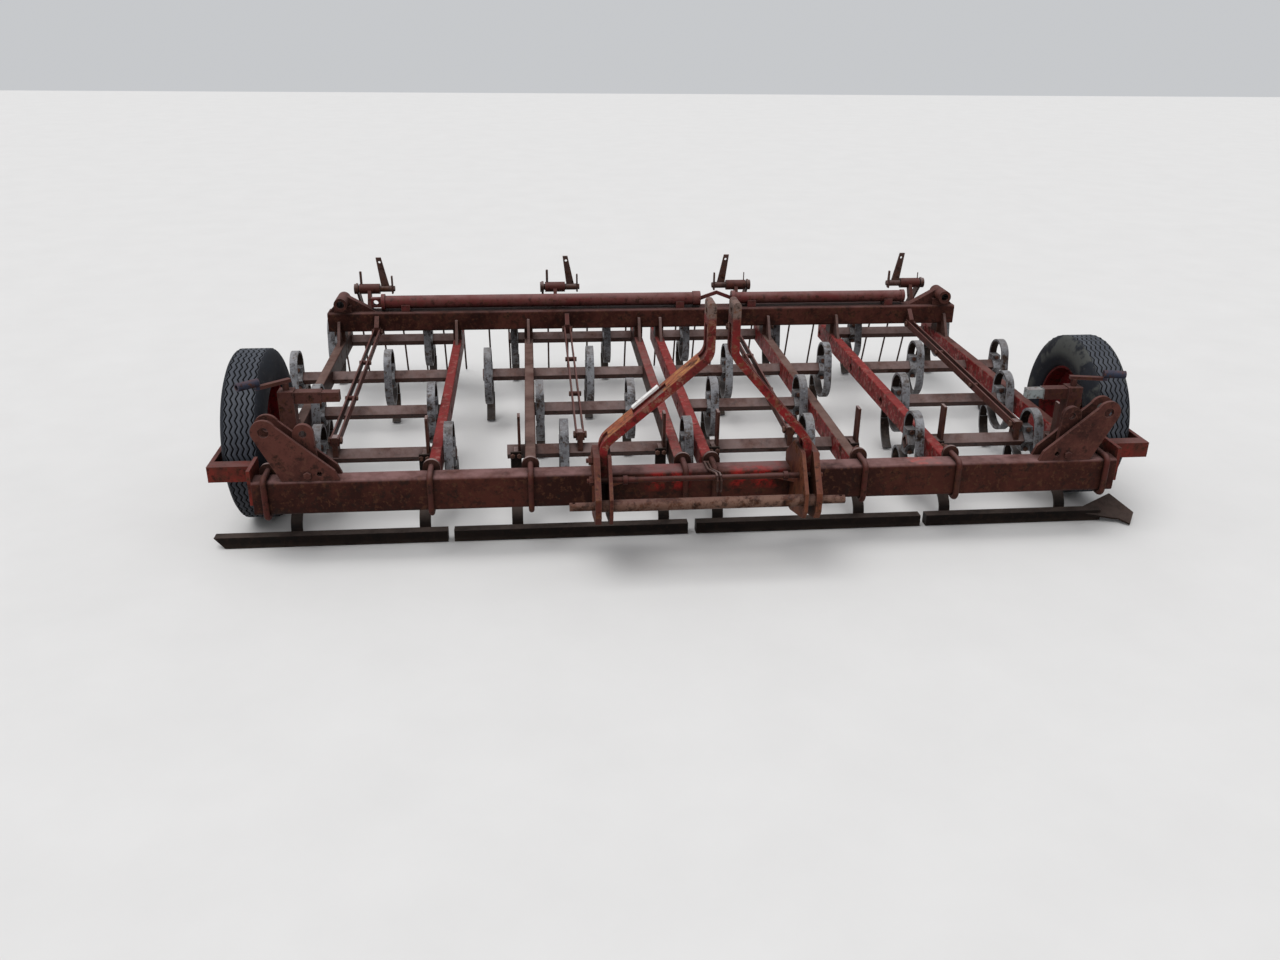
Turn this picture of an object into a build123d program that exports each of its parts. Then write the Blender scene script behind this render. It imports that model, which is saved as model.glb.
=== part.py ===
"""Three-point mounted seedbed harrow, centre section: spring tines on four rows of bars.

Millimetres, X to the right seen from the front, Y to the rear, Z up from the ground.
Lengths along Y are measured from the front beam's front face and moved by Y_SHIFT on writing.
"""

import math
import os

from build123d import *

os.makedirs("parts", exist_ok=True)

Y_SHIFT = -953.0          # brings the middle of the whole machine to Y = 0

# Front beam, a hollow section across the machine.
FB_LEN = 3000.0
FB_D = 80.0
FB_H = 120.0
FB_TOP = 310.0
FB_BOT = FB_TOP - FB_H
FB_WALL = 6.0
FB_R = 12.0
SIDE_X = FB_LEN / 2       # where the beam ends; the outer sections are measured from it

# Upper rear beam.
UB_LEN = FB_LEN + 20.0
UB_Y0 = 1672.0
UB_D = 100.0
UB_H = 90.0
UB_TOP = 433.0
UB_BOT = UB_TOP - UB_H
UB_WALL = 6.0
UB_R = 10.0
UB_YC = UB_Y0 + UB_D / 2

# Section rails, hollow sections running fore and aft.
RAIL_W = 40.0
RAIL_H = 80.0
RAIL_WALL = 4.0
RAIL_R = 6.0
RAIL_TOP = 295.0
RAIL_BOT = RAIL_TOP - RAIL_H
RAIL_END = 1900.0
PLATE_T = 12.0
PLATE_W = 60.0
PLATE_BOT = 158.0
PLATE_TOP = 345.0

# Cross bars, square tube turned on its corner.
BAR = 40.0
BAR_WALL = 4.0
BAR_HALF = BAR * math.sqrt(2) / 2
BAR_Z = 247.0
ROW_Y = {1: 1865.0, 2: 1288.0, 3: 830.0, 4: 374.0}

# Where the inner and the outer levelling board meet, and the gap between their ends.
BOARD_SPLIT = 869.0
BOARD_GAP = 22.0

# Each section: rails, bars by row (x from, x to) and tines by row.
SECTIONS = {
    "outer": {
        "rails": (916.0, SIDE_X - 42.0),
        "bars": {
            1: (896.0, SIDE_X + 45.0),
            2: (896.0, SIDE_X + 110.0),
            3: (896.0, SIDE_X - 22.0),
            4: (850.0, SIDE_X - 22.0),
        },
        "tines": {
            1: (1067.0, SIDE_X + 20.0),
            2: (1189.0, SIDE_X + 85.0),
            3: (968.0, SIDE_X - 84.0),
            4: (872.0, SIDE_X - 165.0),
        },
        "link": SIDE_X - 217.0,
        "hangers": (962.0, SIDE_X - 88.0),
        "board": (BOARD_SPLIT + BOARD_GAP / 2, SIDE_X + 190.0),
        "rake": (860.0, SIDE_X + 60.0),
        "rake_pin": SIDE_X - 170.0,
    },
    "inner": {
        "rails": (51.0, 579.0),
        "bars": {1: (31.0, 680.0), 2: (31.0, 785.0), 3: (31.0, 599.0), 4: (31.0, 665.0)},
        "tines": {1: (195.0, 650.0), 2: (310.0, 760.0), 3: (170.0, 538.0), 4: (455.0,)},
        "link": 395.0,
        "hangers": (100.0, 632.0),
        "board": (15.0, BOARD_SPLIT - BOARD_GAP / 2),
        "rake": (60.0, 800.0),
        "rake_pin": 445.0,
    },
}
CENTRE_TINE_X = 0.0
CENTRE_BAR_END = -21.0

# Beam clamp rods, bent round the front beam and through the rail's plate.
ROD_R = 10.0
ROD_BEND = FB_R + ROD_R
ROD_END = FB_D + PLATE_T + 40.0

# Spring tine, a flat bar bent in a tall loop round its bar, then up and over to the lower leg.
TINE_W = 32.0
TINE_T = 10.0
TINE_BACK = 41.0
LOOP_R = 66.5
LOOP_Z = 59.5
LOOP_TURN = 168.0
FRONT_RUN = 89.0
FOOT_R = 88.0
FOOT_TURN = 140.0
RISE = 52.0
HEEL_R = 40.0
HEEL_TURN = LOOP_TURN + FOOT_TURN - 180.0
LOWER_R = 172.0
LOWER_TURN = 54.0
SHARE_W = 38.0
SHARE_T = 6.0
SHARE_FROM = 8.0
SHARE_TO = 56.0
CLAMP_W = 36.0
CLAMP_Z = 50.0
CLAMP_T = 8.0

# Flat link bars between the fourth row and the upper beam.
LINK_T = 6.0
LINK_H = 30.0
LINK_GAP = 20.0
LINK_Y1 = ROW_Y[4]
LINK_Z1 = 308.0
LINK_Y2 = 1642.0
LINK_Z2 = 352.0
LINK_BOLT_R = 8.0

# Levelling boards and their spring hangers.
BOARD_D = 38.0
BOARD_H = 42.0
BOARD_Y0 = 137.0
BOARD_Z0 = 2.0
BOARD_BEVEL = 35.0
BOARD_BEND = 130.0
FLAP_T = 8.0
FLAP_TILT = 18.0
FLAP_Y0 = 75.0
FLAP_Y1 = 245.0
HANG_W = 40.0
HANG_T = 8.0
HANG_Y = 314.0
HANG_TOP = 270.0
HANG_KNEE_Z = 215.0
HANG_R1 = 110.0
HANG_R2 = 70.0
HANG_TURN = 60.0
HANG_END_Z = 8.0
FOOT_W = 16.0
FOOT_Z0 = 225.0
FOOT_Z1 = 269.0
STRAP_T = 10.0
STRAP_D = 40.0
STRAP_Z0 = 222.0
STRAP_Z1 = 404.0

# Rear following rake.
RAKE_PIVOT_Y = 1850.0
RAKE_PIVOT_Z = 505.0
RAKE_SHAFT_R = 15.0
RAKE_BUSH_R = 24.0
RAKE_BUSH_L = 96.0
RAKE_RUN = 0.05
RAKE_BAR_Y = 2010.0
RAKE_BAR_Z = 345.0
RAKE_BAR_R = 17.0
RAKE_WIRE_R = 4.5
RAKE_PITCH = 100.0
LEVER_IN = 30.0
LEVER_BASE = 20.0
LEVER_TIP = 12.0
LEVER_LEAN = 27.0
LEVER_H = 150.0
LEVER_T = 10.0

# Three-point hitch.
HITCH_Y = -190.0
HITCH_Z = 277.0
PIN_R = 14.2
PIN_LEN = 83.0
SHANK_R = 17.0
CROSS_R = 20.0
OUT_X0 = 353.0
OUT_T = 20.0
IN_T = 12.0
LEG_W = 26.0
IN_X0 = OUT_X0 - LEG_W - IN_T
PIN_X0 = OUT_X0 + OUT_T
PIN_END = PIN_X0 + PIN_LEN
COTTER_R = 5.5
STAY_R = 9.0
STAY_Y = -118.0
STAY_Z = 336.0
COLLAR_IN = 53.0
COLLAR_L = 14.0
MAST_Y0 = -112.0
MAST_D = 80.0
MAST_FOOT_Z = 335.0
MAST_X = OUT_X0 - LEG_W / 2
MAST_BEND_Z = 455.0
MAST_LEAN = 41.0
MAST_SPREAD = 39.0
MAST_TOP_Z = 925.0
MAST_NECK_Z = MAST_TOP_Z - 175.0
TOP_PIN_R = 12.9
TOP_PIN_DROP = 35.0
TOP_PIN_Z = MAST_TOP_Z - TOP_PIN_DROP
MAST_BEND_R = 60.0
MAST_FLANGE = 22.0
MAST_WEB = 8.0
HEAD_DROP = 75.0
HEAD_R = 12.0
GUSSET_X = 90.0
GUSSET_Y = 60.0
GUSSET_Z = 285.0
GUSSET_T = 12.0

# Fold pivots for the wings, which are not fitted.
FOLD_X = SIDE_X - 61.0
FOLD_Z = 484.0
FOLD_BORE_R = 17.5
LUG_R = 42.0
LOCK_IN = 119.0
LOCK_H = 156.0
LOCK_T = 16.0
LOCK_R = 34.0
LOCK_BORE_R = 12.5
LUG_T = 12.0
LUG_Y0 = 6.0
LUG_Y1 = 62.0
BOSS_R = 30.0
BOSS_Y0 = 1629.0
BOSS_Y1 = 1765.0

# Depth wheels.
WHEEL_Y = 465.0
TYRE_R = 310.0
TYRE_W = 150.0
TYRE_GAP = 9.0
WHEEL_X = SECTIONS["outer"]["rails"][1] + RAIL_W / 2 + TYRE_GAP + TYRE_W / 2
RIM_R = 190.0
RIM_W = 112.0
AXLE_R = 15.0
AXLE_RUN = 0.05
AXLE_HEAD = 8.0
AXLE_IN = 56.0
COLLAR_R = 22.0
ARM_X0 = WHEEL_X + TYRE_W / 2 + TYRE_GAP
ARM_T = 14.0
ARM_X1 = ARM_X0 + ARM_T
END_T = 12.0
ARM_Y0 = 84.0
ARM_Y1 = 134.0
ARM_Z0 = 280.0
ARM_Z1 = 336.0

# Depth screws, each turned to its own height and angle.
SCREW_X = SIDE_X - 106.0
SCREW_Y = 200.0
POST_W = 52.0
POST_WALL = 5.0
POST_DROP = 26.0
OUTRIGGER = 40.0
OUTRIGGER_LEN = 90.0
OUTRIGGER_IN = 34.0
OUTRIGGER_REACH = 150.0
SCREW_R = 11.0
CRANK_LEN = 112.0
SCREWS = {
    "right": {"top": 546.0, "turn": -12.0},
    "left": {"top": 590.0, "turn": -42.0},
}

# Fold rams lying on the upper beam.
RAM_R = 30.0
RAM_SLIM_R = 27.5
CAP_OVER = 8.0
CAP_T = 17.0
RAM_Z = UB_TOP + RAM_R + CAP_OVER + 1.0
RAM_OUT = SIDE_X - 255.0
RAM_L_IN = 250.0
RAM_R_IN = 420.0
EYE_X = RAM_OUT + 43.0
EYE_R = 12.5
LINK_PEAK_X = 330.0
LINK_PEAK = 28.0
LINK_BAR_H = 18.0
LINK_BAR_T = 8.0


def box(x0, x1, y0, y1, z0, z1):
    return Pos((x0 + x1) / 2, (y0 + y1) / 2, (z0 + z1) / 2) * Box(x1 - x0, y1 - y0, z1 - z0)


def rod_x(x0, x1, y, z, r):
    return Pos((x0 + x1) / 2, y, z) * Rot(0, 90, 0) * Cylinder(r, abs(x1 - x0))


def rod_y(y0, y1, x, z, r):
    return Pos(x, (y0 + y1) / 2, z) * Rot(90, 0, 0) * Cylinder(r, abs(y1 - y0))


def rod_z(z0, z1, x, y, r):
    return Pos(x, y, (z0 + z1) / 2) * Cylinder(r, abs(z1 - z0))


def rod(p, q, r):
    """Round bar from point p to point q."""
    a, b = Vector(*p), Vector(*q)
    plane = Plane(origin=a, z_dir=(b - a).normalized())
    return extrude(plane * Circle(r), (b - a).length)


def tube_section(w, h, wall, radius):
    outer = RectangleRounded(w, h, radius)
    inner = RectangleRounded(w - 2 * wall, h - 2 * wall, max(radius - wall, 1.0))
    return outer - inner


def slab(points, x0, x1):
    """Plate of a Y-Z outline, from x0 to x1."""
    plane = Plane(origin=(x0, 0, 0), x_dir=(0, 1, 0), z_dir=(1, 0, 0))
    return extrude(plane * Polygon(*points, align=None), x1 - x0, dir=(1, 0, 0))


def wall(points, y0, y1):
    """Plate of an X-Z outline, from y0 to y1."""
    plane = Plane(origin=(0, y1, 0), x_dir=(1, 0, 0), z_dir=(0, -1, 0))
    return extrude(plane * Polygon(*points, align=None), y1 - y0, dir=(0, -1, 0))


def bent_face(start, heading, steps, t):
    """Outline of a flat bar of thickness t that follows straight and curved steps."""
    sides = []
    for side in (1, -1):
        u, v = start
        turn = heading
        off = side * t / 2
        edges = []
        here = (u - off * math.sin(math.radians(turn)), v + off * math.cos(math.radians(turn)))
        for kind, a, b in steps:
            if kind == "line":
                u += a * math.cos(math.radians(turn))
                v += a * math.sin(math.radians(turn))
                there = (
                    u - off * math.sin(math.radians(turn)),
                    v + off * math.cos(math.radians(turn)),
                )
                edges.append(("line", here, there, None))
            else:
                hand = 1 if b > 0 else -1
                cu = u - hand * a * math.sin(math.radians(turn))
                cv = v + hand * a * math.cos(math.radians(turn))
                pts = []
                for share in (0.5, 1.0):
                    now = turn + b * share
                    pu = cu + hand * a * math.sin(math.radians(now))
                    pv = cv - hand * a * math.cos(math.radians(now))
                    pts.append(
                        (
                            pu - off * math.sin(math.radians(now)),
                            pv + off * math.cos(math.radians(now)),
                            pu,
                            pv,
                        )
                    )
                there = pts[1][:2]
                edges.append(("arc", here, there, pts[0][:2]))
                u, v = pts[1][2:]
                turn += b
            here = there
        sides.append(edges)
    out = []
    for edges in sides:
        for kind, p, q, m in edges:
            out.append(Line(p, q) if kind == "line" else ThreePointArc(p, m, q))
    out.append(Line(sides[0][0][1], sides[1][0][1]))
    out.append(Line(sides[0][-1][2], sides[1][-1][2]))
    return make_face([e.edge() for e in out])


def follow(start, heading, steps):
    """Where the middle line ends after the steps, and its heading there."""
    u, v = start
    turn = heading
    for kind, a, b in steps:
        if kind == "line":
            u += a * math.cos(math.radians(turn))
            v += a * math.sin(math.radians(turn))
        else:
            hand = 1 if b > 0 else -1
            cu = u - hand * a * math.sin(math.radians(turn))
            cv = v + hand * a * math.cos(math.radians(turn))
            turn += b
            u = cu + hand * a * math.sin(math.radians(turn))
            v = cv - hand * a * math.cos(math.radians(turn))
    return u, v, turn


def bent_yz(start, heading, steps, t, x0, x1):
    plane = Plane(origin=(x0, 0, 0), x_dir=(0, 1, 0), z_dir=(1, 0, 0))
    return extrude(plane * bent_face(start, heading, steps, t), x1 - x0, dir=(1, 0, 0))


def bent_xz(start, heading, steps, t, y0, y1):
    plane = Plane(origin=(0, y1, 0), x_dir=(1, 0, 0), z_dir=(0, -1, 0))
    return extrude(plane * bent_face(start, heading, steps, t), y1 - y0, dir=(0, -1, 0))


def mirrored(shape):
    return mirror(shape, about=Plane.YZ)


def save(name, pieces):
    solids = []
    for piece in pieces:
        solids.extend((Pos(0, Y_SHIFT, 0) * piece).solids())
    shape = solids[0] if len(solids) == 1 else Compound(label=name, children=solids)
    shape.label = name
    export_step(shape, f"parts/{name}.step")


def both(name, pieces):
    """One node on the right and its mirror image on the left."""
    save(name + "_right", pieces)
    save(name + "_left", [mirrored(p) for p in pieces])


# The two beams.
def beam(length, depth, height, wall_t, radius, y_mid, z_mid):
    plane = Plane(origin=(-length / 2, y_mid, z_mid), x_dir=(0, 1, 0), z_dir=(1, 0, 0))
    return extrude(plane * tube_section(depth, height, wall_t, radius), length)


front_beam = beam(FB_LEN, FB_D, FB_H, FB_WALL, FB_R, FB_D / 2, (FB_TOP + FB_BOT) / 2)
upper_beam = beam(UB_LEN, UB_D, UB_H, UB_WALL, UB_R, UB_YC, (UB_TOP + UB_BOT) / 2)
save("front_beam", [front_beam])
save("upper_beam", [upper_beam])


# The four section frames.
def bar_plane(x, y):
    return Plane(origin=(x, y, BAR_Z), x_dir=(0, 1, 0), z_dir=(1, 0, 0))


def bar_tube(x0, x1, y):
    face = Rectangle(BAR, BAR) - Rectangle(BAR - 2 * BAR_WALL, BAR - 2 * BAR_WALL)
    return extrude(bar_plane(x0, y) * Rot(0, 0, 45) * face, x1 - x0)


def bar_core(x0, x1, y):
    return extrude(bar_plane(x0, y) * Rot(0, 0, 45) * Rectangle(BAR, BAR), x1 - x0)


def rail(x):
    y0 = FB_D + PLATE_T
    plane = Plane(
        origin=(x, y0, (RAIL_TOP + RAIL_BOT) / 2), x_dir=(1, 0, 0), z_dir=(0, 1, 0)
    )
    tube = extrude(plane * tube_section(RAIL_W, RAIL_H, RAIL_WALL, RAIL_R), RAIL_END - y0)
    for y in ROW_Y.values():
        tube -= bar_core(x - RAIL_W, x + RAIL_W, y)
    return tube


def clamp_plate(x):
    flat = wall(
        [
            (x - PLATE_W / 2, PLATE_BOT),
            (x + PLATE_W / 2, PLATE_BOT),
            (x + PLATE_W / 2, PLATE_TOP - PLATE_W / 2),
            (x - PLATE_W / 2, PLATE_TOP - PLATE_W / 2),
        ],
        FB_D,
        FB_D + PLATE_T,
    )
    flat += rod_y(FB_D, FB_D + PLATE_T, x, PLATE_TOP - PLATE_W / 2, PLATE_W / 2)
    for z in (FB_TOP + ROD_R, FB_BOT - ROD_R):
        flat -= rod_y(FB_D - 1, FB_D + PLATE_T + 1, x, z, ROD_R + 1.0)
    return flat


def rear_post(x):
    plane = Plane(origin=(x, UB_YC, RAIL_TOP))
    return extrude(plane * tube_section(RAIL_W, UB_D - 2 * UB_R, 5.0, 4.0), UB_BOT - RAIL_TOP)


def post_gusset(x):
    """Sloping plate from the rail's top to the front of the upper beam."""
    return slab(
        [
            (UB_Y0 - 80, RAIL_TOP),
            (UB_Y0, RAIL_TOP),
            (UB_Y0, UB_TOP - 38),
            (UB_Y0 - 14, UB_TOP - 38),
        ],
        x - 6,
        x + 6,
    )


def link_post(x):
    """Saddle on the fourth row that carries a link's front bolt."""
    y = ROW_Y[4]
    post = slab(
        [
            (y - 26, BAR_Z + 6),
            (y + 26, BAR_Z + 6),
            (y + 18, LINK_Z1 + 16),
            (y - 18, LINK_Z1 + 16),
        ],
        x - LINK_GAP / 2,
        x + LINK_GAP / 2,
    )
    post -= bar_core(x - 20, x + 20, y)
    post -= rod_x(x - 20, x + 20, LINK_Y1, LINK_Z1, LINK_BOLT_R)
    return post.solids().sort_by(Axis.Z)[-1]


def hanger_strap(x, side):
    """Foot in front of the fourth row for a board's spring leaf, with an upright strap beside it."""
    y0 = HANG_Y + HANG_T / 2
    y1 = ROW_Y[4] - 6
    half = FOOT_W / 2
    foot = box(x - half, x + half, y0, y1, FOOT_Z0, FOOT_Z1)
    foot -= bar_core(x - FOOT_W, x + FOOT_W, ROW_Y[4])
    x0, x1 = sorted((x + side * half, x + side * (half + STRAP_T)))
    strap = box(x0, x1, y0, y0 + STRAP_D, STRAP_Z0, STRAP_Z1)
    strap -= bar_core(x0 - 1, x1 + 1, ROW_Y[4])
    return [foot.solids().sort_by(Axis.Y)[0], strap.solids().sort_by(SortBy.VOLUME)[-1]]


def section(spec, centre_bar, strap_side):
    pieces = []
    for x in spec["rails"]:
        pieces += [rail(x), clamp_plate(x), rear_post(x), post_gusset(x)]
    for row, (x0, x1) in spec["bars"].items():
        start = CENTRE_BAR_END if centre_bar and row == 4 else x0
        pieces.append(bar_tube(start, x1, ROW_Y[row]))
    pieces.append(link_post(spec["link"]))
    for x in spec["hangers"]:
        pieces += hanger_strap(x, strap_side)
    return pieces


outer = SECTIONS["outer"]
inner = SECTIONS["inner"]
save("section_1", [mirrored(p) for p in section(outer, False, -1)])
save("section_2", [mirrored(p) for p in section(inner, False, -1)])
save("section_3", section(inner, True, 1))
save("section_4", section(outer, False, 1))


# Rods that clamp the sections to the front beam.
def clamp_rod(x):
    with BuildLine(Plane(origin=(x, 0, 0), x_dir=(0, 1, 0), z_dir=(1, 0, 0))) as wire:
        z0 = FB_BOT - ROD_R
        z1 = FB_TOP + ROD_R
        Line((ROD_END, z0), (FB_R, z0))
        RadiusArc((FB_R, z0), (-ROD_R, FB_BOT + FB_R), ROD_BEND)
        Line((-ROD_R, FB_BOT + FB_R), (-ROD_R, FB_TOP - FB_R))
        RadiusArc((-ROD_R, FB_TOP - FB_R), (FB_R, z1), ROD_BEND)
        Line((FB_R, z1), (ROD_END, z1))
    start = Plane(origin=(x, ROD_END, z0), x_dir=(1, 0, 0), z_dir=(0, -1, 0))
    bar = sweep(start * Circle(ROD_R), path=wire.wires()[0])
    return [bar]


clamps = []
for x in outer["rails"] + inner["rails"]:
    clamps += clamp_rod(x)
both("beam_clamps", clamps)


# Spring tines.
def tine(x, y):
    z = BAR_Z
    steps = [
        ("line", CLAMP_Z + LOOP_Z, 0),
        ("arc", LOOP_R, LOOP_TURN),
        ("line", FRONT_RUN, 0),
        ("arc", FOOT_R, FOOT_TURN),
        ("line", RISE, 0),
        ("arc", HEEL_R, -HEEL_TURN),
        ("arc", LOWER_R, -LOWER_TURN),
    ]
    start = (y + TINE_BACK, z - CLAMP_Z)
    leaf = bent_yz(start, 90.0, steps, TINE_T, x - TINE_W / 2, x + TINE_W / 2)
    leg_y, leg_z, _ = follow(start, 90.0, steps[:-1])
    share_r = LOWER_R - (TINE_T + SHARE_T) / 2
    share = bent_yz(
        (
            leg_y - LOWER_R + share_r * math.cos(math.radians(SHARE_FROM)),
            leg_z - share_r * math.sin(math.radians(SHARE_FROM)),
        ),
        -90.0 - SHARE_FROM,
        [("arc", share_r, SHARE_FROM - SHARE_TO)],
        SHARE_T,
        x - SHARE_W / 2,
        x + SHARE_W / 2,
    )
    back = TINE_BACK - TINE_T / 2
    h = BAR_HALF
    front = slab(
        [
            (y, z + CLAMP_Z),
            (y, z + h),
            (y - h, z),
            (y, z - h),
            (y, z - CLAMP_Z),
            (y - CLAMP_T, z - CLAMP_Z),
            (y - CLAMP_T, z - h),
            (y - CLAMP_T - h, z),
            (y - CLAMP_T, z + h),
            (y - CLAMP_T, z + CLAMP_Z),
        ],
        x - CLAMP_W / 2,
        x + CLAMP_W / 2,
    )
    rear = slab(
        [
            (y, z + CLAMP_Z),
            (y, z + h),
            (y + h, z),
            (y, z - h),
            (y, z - CLAMP_Z),
            (y + back, z - CLAMP_Z),
            (y + back, z + CLAMP_Z),
        ],
        x - CLAMP_W / 2,
        x + CLAMP_W / 2,
    )
    return [leaf, front, rear, share]


def tines(spec):
    pieces = []
    for row, xs in spec["tines"].items():
        for x in xs:
            pieces += tine(x, ROW_Y[row])
    return pieces


outer_tines = tines(outer)
inner_tines = tines(inner)
save("tines_1", [mirrored(p) for p in outer_tines])
save("tines_2", [mirrored(p) for p in inner_tines])
save("tines_3", inner_tines + tine(CENTRE_TINE_X, ROW_Y[4]))
save("tines_4", outer_tines)


# Double flat-bar links.
def link(x):
    length = math.hypot(LINK_Y2 - LINK_Y1, LINK_Z2 - LINK_Z1)
    tilt = math.degrees(math.atan2(LINK_Z2 - LINK_Z1, LINK_Y2 - LINK_Y1))
    pieces = []
    for side in (-1, 1):
        inner_x = x + side * LINK_GAP / 2
        start = (
            LINK_Y1 - 20 * math.cos(math.radians(tilt)),
            LINK_Z1 - 20 * math.sin(math.radians(tilt)),
        )
        x0, x1 = sorted((inner_x, inner_x + side * LINK_T))
        flat = bent_yz(start, tilt, [("line", length + 40, 0)], LINK_H, x0, x1)
        for y, z in ((LINK_Y1, LINK_Z1), (LINK_Y2, LINK_Z2)):
            flat -= rod_x(x0 - 1, x1 + 1, y, z, LINK_BOLT_R)
        pieces.append(flat)
    reach = LINK_GAP / 2 + LINK_T
    for y, z in ((LINK_Y1, LINK_Z1), (LINK_Y2, LINK_Z2)):
        pieces.append(rod_x(x - reach, x + reach, y, z, LINK_BOLT_R))
    for share in (0.33, 0.66):
        y = LINK_Y1 + share * (LINK_Y2 - LINK_Y1)
        z = LINK_Z1 + share * (LINK_Z2 - LINK_Z1)
        pieces.append(rod_x(x - LINK_GAP / 2, x + LINK_GAP / 2, y, z, 10.0))
    return pieces


def link_bracket(x):
    plate = slab(
        [
            (UB_Y0, UB_BOT + 14),
            (UB_Y0, UB_TOP - 14),
            (LINK_Y2 - 20, LINK_Z2 + 26),
            (LINK_Y2 - 20, LINK_Z2 - 18),
            (LINK_Y2 + 14, LINK_Z2 - 18),
        ],
        x - LINK_GAP / 2,
        x + LINK_GAP / 2,
    )
    return plate - rod_x(x - 20, x + 20, LINK_Y2, LINK_Z2, LINK_BOLT_R)


both("links", link(outer["link"]) + link(inner["link"]))


# Levelling boards.
def board(spec, end):
    """Plank on two spring leaves; its outer end is square, slanted or beaten into a wide flap."""
    x0, x1 = spec["board"]
    z0 = BOARD_Z0
    z1 = BOARD_Z0 + BOARD_H
    outlines = {
        "square": [(x0, z0), (x1, z0), (x1, z1), (x0, z1)],
        "slanted": [(x0, z0), (x1 - BOARD_BEVEL, z0), (x1, z1), (x0, z1)],
        "flap": [(x0, z0), (x1 - BOARD_BEND, z0), (x1 - BOARD_BEND, z1), (x0, z1)],
    }
    plank = wall(outlines[end], BOARD_Y0, BOARD_Y0 + BOARD_D)
    if end == "flap":
        middle = BOARD_Y0 + BOARD_D / 2
        flap = Polygon(
            (x1 - BOARD_BEND - 60, -BOARD_D / 2),
            (x1 - 70, FLAP_Y0 + 30 - middle),
            (x1 - 40, FLAP_Y0 - middle),
            (x1, -20),
            (x1 - 50, FLAP_Y1 - middle),
            (x1 - BOARD_BEND - 60, BOARD_D / 2),
            align=None,
        )
        flap = Pos(0, 0, -FLAP_T / 2) * extrude(flap, FLAP_T, dir=(0, 0, 1))
        plank += Pos(0, middle, z1 - 11) * Rot(FLAP_TILT, 0, 0) * flap
    pieces = []
    turn = math.radians(HANG_TURN)
    back = BOARD_Y0 + BOARD_D + HANG_T / 2
    run = (HANG_Y - back - (HANG_R1 + HANG_R2) * (1 - math.cos(turn))) / math.sin(turn)
    drop = (HANG_R1 + HANG_R2) * math.sin(turn) + run * math.cos(turn)
    tail = HANG_KNEE_Z - drop - HANG_END_Z
    for x in spec["hangers"]:
        steps = [
            ("line", HANG_TOP - HANG_KNEE_Z, 0),
            ("arc", HANG_R1, -HANG_TURN),
            ("line", run, 0),
            ("arc", HANG_R2, HANG_TURN),
            ("line", tail, 0),
        ]
        leaf = bent_yz((HANG_Y, HANG_TOP), -90.0, steps, HANG_T, x - HANG_W / 2, x + HANG_W / 2)
        pieces.append(leaf)
    return [plank] + pieces


inner_board = board(inner, "square")
save("board_1", [mirrored(p) for p in board(outer, "slanted")])
save("board_2", [mirrored(p) for p in inner_board])
save("board_3", inner_board)
save("board_4", board(outer, "flap"))


# Rear rake: a bracket on the upper beam and a turning frame with wire tines.
def rake_bracket(x):
    half = RAKE_BUSH_L / 2
    bush = rod_x(x - half, x + half, RAKE_PIVOT_Y, RAKE_PIVOT_Z, RAKE_BUSH_R)
    bore = rod_x(x - half - 1, x + half + 1, RAKE_PIVOT_Y, RAKE_PIVOT_Z, RAKE_SHAFT_R + RAKE_RUN)
    y1 = UB_Y0 + UB_D
    plate = slab(
        [
            (y1, UB_BOT + 14),
            (y1 + 14, UB_BOT + 14),
            (RAKE_PIVOT_Y + 18, RAKE_PIVOT_Z),
            (RAKE_PIVOT_Y - 18, RAKE_PIVOT_Z + 6),
            (y1, UB_TOP - 14),
        ],
        x - 8,
        x + 8,
    )
    return [(bush + plate) - bore]


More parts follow.
